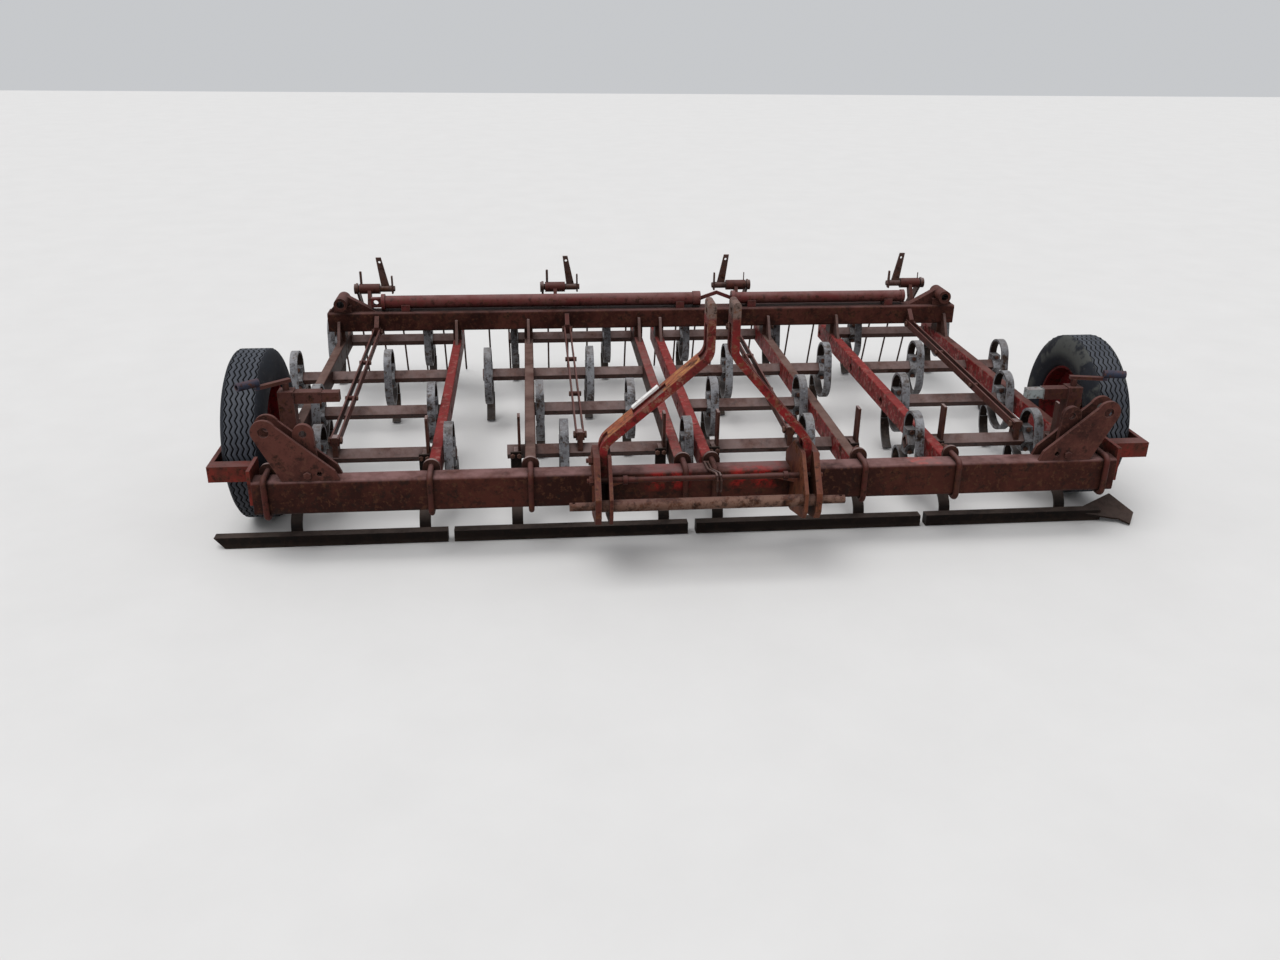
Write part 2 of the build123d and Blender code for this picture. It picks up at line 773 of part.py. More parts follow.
def rake(spec):
    x = spec["rake_pin"]
    half = RAKE_BUSH_L / 2
    lever_x = x - half - LEVER_IN
    shaft = rod_x(
        lever_x - LEVER_BASE - 6, x + half + 24, RAKE_PIVOT_Y, RAKE_PIVOT_Z, RAKE_SHAFT_R
    )
    arm_x = x + half + 12
    arm = slab(
        [
            (RAKE_PIVOT_Y - 22, RAKE_PIVOT_Z + 10),
            (RAKE_PIVOT_Y + 10, RAKE_PIVOT_Z + 26),
            (RAKE_BAR_Y + 20, RAKE_BAR_Z + 16),
            (RAKE_BAR_Y - 6, RAKE_BAR_Z - 22),
        ],
        arm_x - 5,
        arm_x + 5,
    )
    y0 = RAKE_PIVOT_Y - LEVER_T / 2
    y1 = RAKE_PIVOT_Y + LEVER_T / 2
    lever = wall(
        [
            (lever_x - LEVER_BASE, RAKE_PIVOT_Z - 12),
            (lever_x + LEVER_BASE, RAKE_PIVOT_Z - 12),
            (lever_x + LEVER_LEAN + LEVER_TIP, RAKE_PIVOT_Z + LEVER_H),
            (lever_x + LEVER_LEAN - LEVER_TIP, RAKE_PIVOT_Z + LEVER_H),
        ],
        y0,
        y1,
    )
    lever -= rod_y(y0 - 1, y1 + 1, lever_x + LEVER_LEAN - 4, RAKE_PIVOT_Z + LEVER_H - 22, 6.0)
    x0, x1 = spec["rake"]
    tube = rod_x(x0, x1, RAKE_BAR_Y, RAKE_BAR_Z, RAKE_BAR_R)
    frame = shaft + arm + lever + tube
    frame += rod_x(x + half + 6, x + half + 24, RAKE_PIVOT_Y, RAKE_PIVOT_Z, RAKE_BUSH_R)
    count = int((x1 - x0 - 40) // RAKE_PITCH) + 1
    first = (x0 + x1) / 2 - RAKE_PITCH * (count - 1) / 2
    for i in range(count):
        xt = first + i * RAKE_PITCH
        top = Vector(xt, RAKE_BAR_Y + 4, RAKE_BAR_Z - RAKE_BAR_R + 2)
        knee = Vector(xt, RAKE_BAR_Y + 58, 170.0)
        tip = Vector(xt, RAKE_BAR_Y + 112, 8.0)
        start = Plane(origin=top, z_dir=(knee - top).normalized())
        path = Polyline(top, knee, tip)
        frame += sweep(start * Circle(RAKE_WIRE_R), path=path, transition=Transition.RIGHT)
    return [frame]


brackets = []
for spec in (outer, inner):
    brackets += [link_bracket(spec["link"])] + rake_bracket(spec["rake_pin"])
save("upper_brackets", brackets + [mirrored(b) for b in brackets])
outer_rake = rake(outer)
inner_rake = rake(inner)
save("rake_1", [mirrored(p) for p in outer_rake])
save("rake_2", [mirrored(p) for p in inner_rake])
save("rake_3", inner_rake)
save("rake_4", outer_rake)


# Hitch: plates, cross bar with lower link pins, stay rod and mast.
def hitch_outline():
    return [
        (HITCH_Y - 30, HITCH_Z - 30),
        (HITCH_Y - 30, HITCH_Z + 34),
        (MAST_Y0 - 20, 424.0),
        (-20.0, 424.0),
        (FB_D, 345.0),
        (FB_D, FB_TOP),
        (0.0, FB_TOP),
        (0.0, FB_BOT),
        (FB_D, FB_BOT),
        (FB_D, 168.0),
        (-30.0, 168.0),
        (HITCH_Y - 10, 215.0),
    ]


def hitch_side():
    out = slab(hitch_outline(), OUT_X0, OUT_X0 + OUT_T)
    out -= rod_x(OUT_X0 - 1, OUT_X0 + OUT_T + 1, HITCH_Y, HITCH_Z, SHANK_R)
    inside = slab(hitch_outline(), IN_X0, IN_X0 + IN_T)
    inside -= rod_x(IN_X0 - 1, IN_X0 + IN_T + 1, HITCH_Y, HITCH_Z, CROSS_R)
    pieces = []
    for plate in (out, inside):
        plate -= rod_x(IN_X0 - 1, PIN_X0 + 1, STAY_Y, STAY_Z, STAY_R)
        pieces.append(plate)
    corner = Polygon(
        (IN_X0, 0), (IN_X0 - GUSSET_X, 0), (IN_X0, -GUSSET_Y), align=None
    )
    pieces.append(extrude(Plane(origin=(0, 0, GUSSET_Z)) * corner, GUSSET_T, dir=(0, 0, 1)))
    return pieces


both("hitch_plates", hitch_side())

cross = rod_x(-OUT_X0, OUT_X0, HITCH_Y, HITCH_Z, CROSS_R)
cross += rod_x(-PIN_X0, PIN_X0, HITCH_Y, HITCH_Z, SHANK_R)
cross += rod_x(-PIN_END, PIN_END, HITCH_Y, HITCH_Z, PIN_R)
for side in (-1, 1):
    cross -= rod_z(HITCH_Z - 20, HITCH_Z + 20, side * (PIN_END - 14), HITCH_Y, COTTER_R)
save("lower_link_bar", [cross])

stay = rod_x(-PIN_X0, PIN_X0, STAY_Y, STAY_Z, STAY_R)
for side in (-1, 1):
    x0, x1 = sorted((side * (IN_X0 - COLLAR_IN), side * (IN_X0 - COLLAR_IN + COLLAR_L)))
    stay += rod_x(x0, x1, STAY_Y, STAY_Z, STAY_R + 6)
save("stay_rod", [stay])


def mast_leg(top_x):
    slope = math.degrees(math.atan2(MAST_NECK_Z - MAST_BEND_Z, MAST_X - top_x))
    turn = 90.0 - slope
    r = MAST_BEND_R
    cut = r * math.tan(math.radians(turn / 2))
    diagonal = math.hypot(MAST_NECK_Z - MAST_BEND_Z, MAST_X - top_x)
    steps = [
        ("line", MAST_BEND_Z - MAST_FOOT_Z - cut, 0),
        ("arc", r, turn),
        ("line", diagonal - 2 * cut, 0),
        ("arc", r, -turn),
        ("line", MAST_TOP_Z - MAST_NECK_Z - cut, 0),
    ]
    start = (MAST_X, MAST_FOOT_Z)
    y1 = MAST_Y0 + MAST_D
    front = bent_xz(start, 90.0, steps, LEG_W, MAST_Y0, MAST_Y0 + MAST_FLANGE)
    rear = bent_xz(start, 90.0, steps, LEG_W, y1 - MAST_FLANGE, y1)
    web = bent_xz(start, 90.0, steps, MAST_WEB, MAST_Y0 + MAST_FLANGE, y1 - MAST_FLANGE)
    half = LEG_W / 2
    head = box(top_x - half, top_x + half, MAST_Y0, y1, MAST_TOP_Z - HEAD_DROP, MAST_TOP_Z)
    leg = front + rear + web + head
    top_edges = leg.edges().filter_by(Axis.Y).group_by(Axis.Z)[-1]
    leg = fillet(top_edges, HEAD_R)
    leg -= rod_x(top_x - 40, top_x + 40, MAST_Y0 + MAST_D / 2, TOP_PIN_Z, TOP_PIN_R)
    leg -= rod_x(IN_X0 - 1, PIN_X0 + 1, STAY_Y, STAY_Z, STAY_R)
    return [leg]


save("mast_leg_right", mast_leg(MAST_SPREAD + MAST_LEAN))
save("mast_leg_left", [mirrored(p) for p in mast_leg(MAST_SPREAD - MAST_LEAN)])


# Fold pivots.
def fold_lug():
    pieces = []
    outline = [
        (FOLD_X - 228.0, FB_TOP),
        (FOLD_X - 39.0, FB_TOP),
        (FOLD_X + 38.0, FOLD_Z - 18.0),
        (FOLD_X - 14.0, FOLD_Z + 39.6),
        (FOLD_X - 214.0, FB_TOP + 34.0),
    ]
    for y in (LUG_Y0, LUG_Y1):
        plate = wall(outline, y, y + LUG_T) + rod_y(y, y + LUG_T, FOLD_X, FOLD_Z, LUG_R)
        plate -= rod_y(y - 1, y + LUG_T + 1, FOLD_X, FOLD_Z, FOLD_BORE_R)
        plate -= rod_y(y - 1, y + LUG_T + 1, FOLD_X - 164.0, FB_TOP + 24.0, 9.0)
        pieces.append(plate)
    middle = (LUG_Y0 + LUG_Y1 + LUG_T) / 2
    x = FOLD_X - LOCK_IN
    z = FB_TOP + LOCK_H
    small = wall(
        [
            (x - LOCK_R - 7, FB_TOP),
            (x + LOCK_R + 7, FB_TOP),
            (x + LOCK_R, z),
            (x - LOCK_R, z),
        ],
        middle - LOCK_T / 2,
        middle + LOCK_T / 2,
    )
    small += rod_y(middle - LOCK_T / 2, middle + LOCK_T / 2, x, z, LOCK_R)
    small -= rod_y(middle - LOCK_T, middle + LOCK_T, x, z, LOCK_BORE_R)
    pieces.append(small)
    return pieces


def fold_boss():
    tube = rod_y(BOSS_Y0, BOSS_Y1, FOLD_X, FOLD_Z, BOSS_R)
    strut = wall(
        [
            (FOLD_X - 149.0, UB_TOP),
            (FOLD_X + 66.0, UB_TOP),
            (FOLD_X + 29.0, FOLD_Z - 8.0),
            (FOLD_X - 20.0, FOLD_Z + 22.0),
        ],
        UB_YC - 20,
        UB_YC + 20,
    )
    foot = box(FOLD_X - 40, FOLD_X + 40, UB_Y0 + UB_R, UB_YC + 40, UB_TOP, FOLD_Z - 20)
    return [tube + strut + foot - rod_y(BOSS_Y0 - 1, BOSS_Y1 + 1, FOLD_X, FOLD_Z, FOLD_BORE_R)]


both("fold_lug", fold_lug())
both("fold_boss", fold_boss())


# Rams on the upper beam.
def saddle(x, r):
    block = box(x - 20, x + 20, UB_YC - r - 4, UB_YC + r + 4, UB_TOP, RAM_Z - 8)
    return block - rod_x(x - 21, x + 21, UB_YC, RAM_Z, r)


left_ram = rod_x(-RAM_OUT, RAM_L_IN, UB_YC, RAM_Z, RAM_R)
left_ram += rod_x(-RAM_OUT - CAP_T, -RAM_OUT, UB_YC, RAM_Z, RAM_R + CAP_OVER)
left_ram += rod_x(RAM_L_IN - 36, RAM_L_IN, UB_YC, RAM_Z, RAM_R + 5)
left_ram += box(-EYE_X - 22, -RAM_OUT - CAP_T, UB_YC - 14, UB_YC + 14, RAM_Z - 22, RAM_Z + 22)
left_ram -= rod_y(UB_YC - 20, UB_YC + 20, -EYE_X, RAM_Z, EYE_R)
link_low = RAM_Z - LINK_BAR_H / 2
link_x1 = RAM_R_IN - CAP_T
ram_link = wall(
    [
        (RAM_L_IN, link_low),
        (LINK_PEAK_X, link_low + LINK_PEAK),
        (link_x1, link_low),
        (link_x1, link_low + LINK_BAR_H),
        (LINK_PEAK_X, link_low + LINK_BAR_H + LINK_PEAK),
        (RAM_L_IN, link_low + LINK_BAR_H),
    ],
    UB_YC - LINK_BAR_T / 2,
    UB_YC + LINK_BAR_T / 2,
)
left_saddles = [saddle(-RAM_OUT + 95, RAM_R), saddle(RAM_L_IN - 100, RAM_R)]
save("ram_left", [left_ram, ram_link] + left_saddles)

right_ram = rod_x(RAM_R_IN, RAM_OUT, UB_YC, RAM_Z, RAM_SLIM_R)
right_ram += rod_x(RAM_R_IN - CAP_T, RAM_R_IN, UB_YC, RAM_Z, RAM_SLIM_R + CAP_OVER)
right_ram += rod_x(RAM_OUT, RAM_OUT + CAP_T, UB_YC, RAM_Z, RAM_SLIM_R + 3)
save(
    "ram_right",
    [right_ram, saddle(RAM_R_IN + 80, RAM_SLIM_R), saddle(RAM_OUT - 65, RAM_SLIM_R)],
)


# Depth wheels: arm with stub axle, rim, tyre, and the depth screw.
def wheel_arm():
    end_plate = box(SIDE_X, SIDE_X + END_T, 6, ARM_Y1, FB_BOT + 36, FB_TOP + 40)
    cross_box = box(SIDE_X + END_T, ARM_X1, ARM_Y0, ARM_Y1, ARM_Z0, ARM_Z1)
    arm = slab(
        [
            (ARM_Y0, ARM_Z0),
            (ARM_Y0, ARM_Z1),
            (200, ARM_Z1),
            (WHEEL_Y + 26, TYRE_R + 28),
            (WHEEL_Y + 36, TYRE_R),
            (WHEEL_Y + 26, TYRE_R - 28),
            (200, ARM_Z0),
        ],
        ARM_X0,
        ARM_X1,
    )
    arm -= rod_x(ARM_X0 - 1, ARM_X1 + 1, WHEEL_Y, TYRE_R, AXLE_R)
    axle_in = WHEEL_X - AXLE_IN
    axle = rod_x(axle_in, ARM_X1 + AXLE_HEAD, WHEEL_Y, TYRE_R, AXLE_R)
    axle += rod_x(ARM_X1, ARM_X1 + AXLE_HEAD, WHEEL_Y, TYRE_R, COLLAR_R)
    axle += rod_x(axle_in, axle_in + 12, WHEEL_Y, TYRE_R, COLLAR_R)
    return [end_plate + cross_box + arm], [axle]


arm_pieces, axle_pieces = wheel_arm()
both("wheel_arm", arm_pieces)
both("wheel_axle", axle_pieces)


def ring(points, x_mid):
    """Solid turned round the wheel's axis from (radius, x offset) points."""
    plane = Plane(origin=(x_mid, WHEEL_Y, TYRE_R), x_dir=(0, 0, 1), z_dir=(0, 1, 0))
    face = plane * Polygon(*points, align=None)
    return revolve(face, Axis((x_mid, WHEEL_Y, TYRE_R), (1, 0, 0)))


WALL_X = TYRE_W / 2
tyre = ring(
    [
        (RIM_R, -RIM_W / 2),
        (RIM_R + 30, -WALL_X + 4),
        (RIM_R + 65, -WALL_X),
        (TYRE_R - 26, -WALL_X + 6),
        (TYRE_R - 8, -WALL_X + 22),
        (TYRE_R, -WALL_X + 36),
        (TYRE_R, WALL_X - 36),
        (TYRE_R - 8, WALL_X - 22),
        (TYRE_R - 26, WALL_X - 6),
        (RIM_R + 65, WALL_X),
        (RIM_R + 30, WALL_X - 4),
        (RIM_R, RIM_W / 2),
    ],
    WHEEL_X,
)
rim = ring(
    [
        (RIM_R, -RIM_W / 2),
        (RIM_R, RIM_W / 2),
        (RIM_R - 8, RIM_W / 2),
        (RIM_R - 14, 10),
        (60, 22),
        (30, 22),
        (30, 40),
        (AXLE_R + AXLE_RUN, 40),
        (AXLE_R + AXLE_RUN, -38),
        (30, -38),
        (30, 14),
        (60, 14),
        (RIM_R - 14, 2),
        (RIM_R - 8, -RIM_W / 2),
    ],
    WHEEL_X,
)
both("tyre", [tyre])
both("rim", [rim])


def depth_screw(top, turn):
    half = POST_W / 2
    bore = half - POST_WALL
    z0 = RAIL_BOT + 21
    z1 = top - POST_DROP
    post = box(SCREW_X - half, SCREW_X + half, SCREW_Y - half, SCREW_Y + half, z0, z1)
    post -= box(SCREW_X - bore, SCREW_X + bore, SCREW_Y - bore, SCREW_Y + bore, z0 - 1, z1 - 8)
    zc = z1 - 4 - OUTRIGGER / 2
    x1 = SCREW_X - half
    out = OUTRIGGER / 2
    inside = OUTRIGGER_IN / 2
    outrigger = box(x1 - OUTRIGGER_LEN, x1, SCREW_Y - out, SCREW_Y + out, zc - out, zc + out)
    outrigger += box(
        x1 - OUTRIGGER_REACH, x1, SCREW_Y - inside, SCREW_Y + inside, zc - inside, zc + inside
    )
    rail_face = SECTIONS["outer"]["rails"][1] - RAIL_W / 2
    lug = box(SCREW_X + half, rail_face, SCREW_Y - 20, SCREW_Y + 20, z0, RAIL_TOP - 5)
    screw = rod_z(z1, top, SCREW_X, SCREW_Y, SCREW_R)
    crank = box(-18, CRANK_LEN, -9, 9, top, top + 12)
    handle = rod_x(CRANK_LEN - 14, CRANK_LEN + 62, 0, top + 24, 14.0)
    handle -= rod_x(CRANK_LEN - 2, CRANK_LEN + 63, 0, top + 24, 9.0)
    hand = Pos(SCREW_X, SCREW_Y, 0) * Rot(0, 0, turn) * (crank + handle)
    return [post, lug, screw, hand, outrigger]


save("depth_screw_right", depth_screw(**SCREWS["right"]))
save("depth_screw_left", [mirrored(p) for p in depth_screw(**SCREWS["left"])])
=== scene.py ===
# %% [markdown]
# # A seedbed harrow, dressed for its picture
#
# The machine stands on its two depth wheels: two beams, four tine sections, a three-point hitch and rear
# rakes. The CAD frame already has every bar at its real size, so this file adds what a camera sees on top of
# it: tyre tread, bolts, paint, rust, dried soil, a floor and light.

# %% Load the frame
import math

import bmesh
import bpy
from mathutils import Matrix, Vector


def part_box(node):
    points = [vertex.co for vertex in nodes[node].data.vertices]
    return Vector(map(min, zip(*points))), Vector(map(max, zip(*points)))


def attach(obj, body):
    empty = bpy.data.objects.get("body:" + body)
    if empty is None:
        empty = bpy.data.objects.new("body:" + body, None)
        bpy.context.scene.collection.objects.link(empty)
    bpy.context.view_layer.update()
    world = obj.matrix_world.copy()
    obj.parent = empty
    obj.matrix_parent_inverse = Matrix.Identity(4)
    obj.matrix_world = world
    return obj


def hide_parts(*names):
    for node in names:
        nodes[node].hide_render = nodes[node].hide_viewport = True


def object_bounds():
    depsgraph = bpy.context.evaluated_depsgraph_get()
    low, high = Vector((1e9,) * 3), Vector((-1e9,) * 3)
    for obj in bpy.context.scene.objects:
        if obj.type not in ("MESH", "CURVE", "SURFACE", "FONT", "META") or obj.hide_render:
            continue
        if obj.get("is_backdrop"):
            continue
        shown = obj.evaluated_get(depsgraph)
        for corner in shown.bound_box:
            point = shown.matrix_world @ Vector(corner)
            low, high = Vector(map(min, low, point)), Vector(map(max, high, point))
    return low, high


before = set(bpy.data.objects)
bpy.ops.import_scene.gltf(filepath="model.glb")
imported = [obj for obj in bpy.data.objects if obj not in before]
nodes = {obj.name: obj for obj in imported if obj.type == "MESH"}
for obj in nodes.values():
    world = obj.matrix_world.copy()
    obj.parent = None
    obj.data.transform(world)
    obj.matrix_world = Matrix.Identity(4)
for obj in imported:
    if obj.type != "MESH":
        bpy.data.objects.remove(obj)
cad_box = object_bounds()
print("nodes", len(nodes), "box", cad_box)

# %% [markdown]
# Places repeat along the machine, so they are written once. X runs across it, Y to the rear, and every
# length along Y starts at the front beam's face, which lies at BEAM_Y. The same tables serve the bolts of
# all tines, hangers and clamps, so a bolt can't miss its plate.

# %% Places on the machine
BEAM_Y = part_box("front_beam")[0].y
ROW_Y = {1: 1.865, 2: 1.288, 3: 0.830, 4: 0.374}
BAR_Z = 0.247
TINES = {
    1: (0.195, 0.650, 1.067, 1.520),
    2: (0.310, 0.760, 1.189, 1.585),
    3: (0.170, 0.538, 0.968, 1.416),
    4: (0.455, 0.872, 1.335),
}
WHEEL_X = 1.562
WHEEL_Y = BEAM_Y + 0.465
AXLE_Z = 0.310
SIDES = {"left": -1, "right": 1}
BOTH_SIDES = (-1, 1)


def along(y):
    """The scene's Y of a length behind the front beam's face."""
    return BEAM_Y + y


tine_places = [(s * x, along(ROW_Y[row])) for row, xs in TINES.items() for x in xs for s in BOTH_SIDES]
tine_places.append((0.0, along(ROW_Y[4])))
print("tines", len(tine_places), "front beam's face at", round(BEAM_Y, 4))

# %% [markdown]
# ## Node groups for old paint and bare steel
#
# Farm paint fades, chips and rusts in the same way on every bar, so that wear is one node group with named
# inputs. It could be painted by hand on each bar, but then no two bars would age alike. Each material sets
# its own colours and amounts on the group. A node tree is easier to read as a formula than as a drawing, so
# a few helpers come first: each adds one node, feeds it and hands back its output.

# %% Feed, add and group nodes
COLOR, VALUE, VECTOR = "NodeSocketColor", "NodeSocketFloat", "NodeSocketVector"


def feed(tree, given, socket):
    """Links a socket to another one, or writes a plain number, colour or vector on it."""
    if isinstance(given, bpy.types.NodeSocket):
        tree.links.new(given, socket)
    else:
        socket.default_value = given


def add(tree, kind, **inputs):
    """Adds a node and feeds its inputs by name; spaces in a name are written as underscores."""
    node = tree.nodes.new(kind)
    for name, given in inputs.items():
        feed(tree, given, node.inputs[name.replace("_", " ")])
    return node


def group_tree(name, inputs, outputs):
    """Starts a node group and returns its tree, what it is given and where its results go."""
    tree = bpy.data.node_groups.new(name, "ShaderNodeTree")
    for label, kind in inputs:
        tree.interface.new_socket(name=label, in_out="INPUT", socket_type=kind)
    for label, kind in outputs:
        tree.interface.new_socket(name=label, in_out="OUTPUT", socket_type=kind)
    return tree, tree.nodes.new("NodeGroupInput").outputs, tree.nodes.new("NodeGroupOutput").inputs


def place_group(tree, made, **inputs):
    """Places a finished group in a tree, feeds it by name and returns its outputs."""
    node = tree.nodes.new("ShaderNodeGroup")
    node.node_tree = made
    for name, given in inputs.items():
        feed(tree, given, node.inputs[name.replace("_", " ")])
    return node.outputs


print("node helpers:", feed.__name__, add.__name__, group_tree.__name__, place_group.__name__)

# %% [markdown]
# Wear has no image here, it is drawn by noise, a smooth random pattern in space. Remapping a narrow range of
# it to 0 and 1 turns the soft pattern into patches with an edge: the narrower the range, the sharper it is.
# Patterns are then joined with plain arithmetic.

# %% Patterns and arithmetic
def noise(tree, where, scale, detail=4.0, rough=0.6):
    node = add(tree, "ShaderNodeTexNoise", Vector=where, Scale=scale, Detail=detail, Roughness=rough)
    return node.outputs["Fac"]


def stretch(tree, where, factors):
    return add(tree, "ShaderNodeMapping", Vector=where, Scale=factors).outputs["Vector"]


def remap(tree, value, low, high, to_low=0.0, to_high=1.0):
    """Turns low to high into to_low to to_high, and holds the ends."""
    ends = {"From_Min": low, "From_Max": high, "To_Min": to_low, "To_Max": to_high}
    return add(tree, "ShaderNodeMapRange", Value=value, **ends).outputs["Result"]


def calc(tree, operation, a, b=0.0, clamp=False):
    node = tree.nodes.new("ShaderNodeMath")
    node.operation = operation
    node.use_clamp = clamp
    feed(tree, a, node.inputs[0])
    feed(tree, b, node.inputs[1])
    return node.outputs["Value"]


def both_of(tree, a, b):
    return calc(tree, "MULTIPLY", a, b)


def band(tree, value, middle, half, soft=0.0003):
    """1 where the value lies within half of the middle and 0 elsewhere."""
    off = calc(tree, "ABSOLUTE", calc(tree, "SUBTRACT", value, middle))
    return remap(tree, off, half + soft, half)


print("pattern helpers:", noise.__name__, stretch.__name__, remap.__name__, calc.__name__, band.__name__)

# %% [markdown]
# The last helpers mix colours and ask where a point lies and which way its surface looks. The place is taken
# in the piece's own coordinates, so a pattern stays on the metal when a wheel or a rake turns.

# %% Colours, places and directions
def rgb(r, g, b):
    return (r, g, b, 1.0)


def blend(tree, share, a, b):
    """Colour a where the share is 0 and colour b where it is 1."""
    node = tree.nodes.new("ShaderNodeMix")
    node.data_type = "RGBA"
    feed(tree, share, node.inputs["Factor"])
    for name, given in (("A", a), ("B", b)):
        feed(tree, given, next(i for i in node.inputs if i.name == name and i.type == "RGBA"))
    return next(o for o in node.outputs if o.type == "RGBA")


def parts_of(tree, vector):
    return add(tree, "ShaderNodeSeparateXYZ", Vector=vector).outputs


def object_places(tree):
    """Each point of a piece; the pieces lie at the origin, so this is also its place on the machine."""
    return tree.nodes.new("ShaderNodeTexCoord").outputs["Object"]


def facing_parts(tree):
    return parts_of(tree, tree.nodes.new("ShaderNodeNewGeometry").outputs["Normal"])


print("colour helpers:", blend.__name__, parts_of.__name__, object_places.__name__, facing_parts.__name__)

# %% [markdown]
# ### Edges and corners
#
# Old paint goes first where things rub, along sharp edges, and corners that other surfaces close in get
# painted shade. Both could be painted by hand, but Blender can measure them. A Bevel node gives the normal of
# a rounded edge, which turns away from the true one only near an edge. An Ambient Occlusion node says how
# much other surfaces close a point in, and that amount darkens the colour as painted shade.

# %% Masks for worn edges and painted shade in corners
SAMPLES = 4
OPEN, CLOSED_IN = 0.85, 0.30


def edge_mask(tree, radius, low, high):
    """1 along sharp edges, from how far a rounded normal turns away from the true one."""
    rounded = add(tree, "ShaderNodeBevel", Radius=radius)
    rounded.samples = SAMPLES
    flat = tree.nodes.new("ShaderNodeNewGeometry")
    dot = tree.nodes.new("ShaderNodeVectorMath")
    dot.operation = "DOT_PRODUCT"
    feed(tree, rounded.outputs["Normal"], dot.inputs[0])
    feed(tree, flat.outputs["Normal"], dot.inputs[1])
    return remap(tree, dot.outputs["Value"], high, low)


def corner_shade_mask(tree, distance):
    """1 where other surfaces stand close, such as under a beam or behind a plate; it places painted shade."""
    shade = add(tree, "ShaderNodeAmbientOcclusion", Distance=distance)
    shade.samples = SAMPLES
    return remap(tree, shade.outputs["AO"], OPEN, CLOSED_IN)


print("masks:", edge_mask.__name__, corner_shade_mask.__name__)

# %% [markdown]
# ### Weathered metal
#
# This is the finish of nearly everything on the machine. It is built up as it happened: first the paint
# fades in broad clouds, then rust starts in small patches and runs down, spots and stains come on top, dust
# settles on faces that look up, soil sticks near the ground, painted shade darkens the corners, and last the
# edges rub bare. Each layer is one mask, most of them from noise, and the blends follow the order of the
# layers.

# %% Fading, rust, spots and stains
tree, given, out = group_tree(
    "weathered_metal",
    [
        ("Vector", VECTOR),
        ("Base", COLOR),
        ("Faded", COLOR),
        ("Rust", COLOR),
        ("Dust", COLOR),
        ("Worn", COLOR),
        ("Rust Amount", VALUE),
        ("Dust Amount", VALUE),
        ("Soil Height", VALUE),
    ],
    [("Color", COLOR), ("Roughness", VALUE), ("Height", VALUE)],
)
# Scale, detail and roughness of each noise
CLOUDS = (3.2, 3.0, 0.55)
PATCHES = (15.0, 9.0, 0.72)
GRAIN = (95.0, 4.0, 0.6)
RUNS = (1.0, 4.0, 0.6)
SPOTS = (46.0, 6.0, 0.75)
STAINS = (31.0, 7.0, 0.75)
DOWNWARD = (30.0, 30.0, 4.0)
# A dark stain colour; the same colour also paints shade into closed-in corners.
STAIN_AND_SHADE = rgb(0.016, 0.009, 0.007)
# Where each mask starts and ends, and how strong it then is
FADING = (0.78, 1.02)
RUST_TONES = (0.38, 0.62)
SPOTTED = (0.54, 0.60, 0.0, 0.85)
STAINED = (0.47, 0.38, 0.0, 0.72)
RUST_FROM, RUST_GAIN, RUST_RIM = 0.84, 0.5, 0.10
PATCHES_IN_CLOUDS, RUNS_IN_RUST = 0.8, 0.22

where = given["Vector"]
clouds = noise(tree, where, *CLOUDS)
patch = noise(tree, where, *PATCHES)
grain = noise(tree, where, *GRAIN)
runs = noise(tree, stretch(tree, where, DOWNWARD), *RUNS)
cloudy = calc(tree, "ADD", clouds, calc(tree, "MULTIPLY", patch, PATCHES_IN_CLOUDS))
faded = blend(tree, remap(tree, cloudy, *FADING), given["Base"], given["Faded"])
start = calc(tree, "SUBTRACT", RUST_FROM, calc(tree, "MULTIPLY", given["Rust Amount"], RUST_GAIN))
rust_seed = calc(tree, "ADD", patch, calc(tree, "MULTIPLY", runs, RUNS_IN_RUST))
rusty = remap(tree, rust_seed, start, calc(tree, "ADD", start, RUST_RIM))
rust_tone = blend(tree, remap(tree, grain, *RUST_TONES), given["Rust"], STAIN_AND_SHADE)
painted = blend(tree, rusty, faded, rust_tone)
spots = remap(tree, noise(tree, where, *SPOTS), *SPOTTED)
spotted = blend(tree, spots, painted, given["Rust"])
stains = remap(tree, noise(tree, where, *STAINS), *STAINED)
stained = blend(tree, stains, spotted, STAIN_AND_SHADE)
print("paint and rust", len(tree.nodes), "nodes")

# %% [markdown]
# Dust is only on faces that look up, which the Z of the normal tells, and it is patchy. Dried soil covers
# whatever is near the ground, so its mask is the height, broken up by the same patches as the rust.

# %% Dust on top, soil near the ground
SETTLING = (9.0, 8.0, 0.70)
LOOKS_UP = (0.35, 0.95)
SETTLED = (0.35, 0.58, 0.20, 1.0)
CAKED = (0.38, 0.56)
DRY_SOIL = rgb(0.060, 0.046, 0.036)

upward = remap(tree, facing_parts(tree)["Z"], *LOOKS_UP)
settled = remap(tree, noise(tree, where, *SETTLING), *SETTLED)
dusty = calc(tree, "MULTIPLY", both_of(tree, upward, settled), given["Dust Amount"], True)
with_dust = blend(tree, dusty, stained, given["Dust"])
low = remap(tree, parts_of(tree, where)["Z"], given["Soil Height"], 0.0)
soiled = calc(tree, "MULTIPLY", low, remap(tree, patch, *CAKED), True)
with_soil = blend(tree, soiled, with_dust, DRY_SOIL)
print("dust and soil", len(tree.nodes), "nodes")

# %% [markdown]
# The last layers use the two masks: painted shade in the corners, bare metal on the edges. Rust, dust and
# soil have no gloss, so the strongest of them also sets the roughness, and rusty grain gives the relief.

# %% Painted shade in corners, rubbed edges and relief
# How far the painted shade in corners reaches, and how dark it gets.
CORNER_REACH, CORNER_SHADE = 0.07, 0.75
EDGE_RADIUS = 0.0035
EDGE_TURN = (0.80, 0.97)
BROKEN_UP = (0.36, 0.52, 0.15, 0.80)
SMOOTH_ROUGH, DULL_ROUGH = 0.50, 0.88
GRAIN_IN_PAINT, PATCHES_IN_RELIEF = 0.25, 0.5
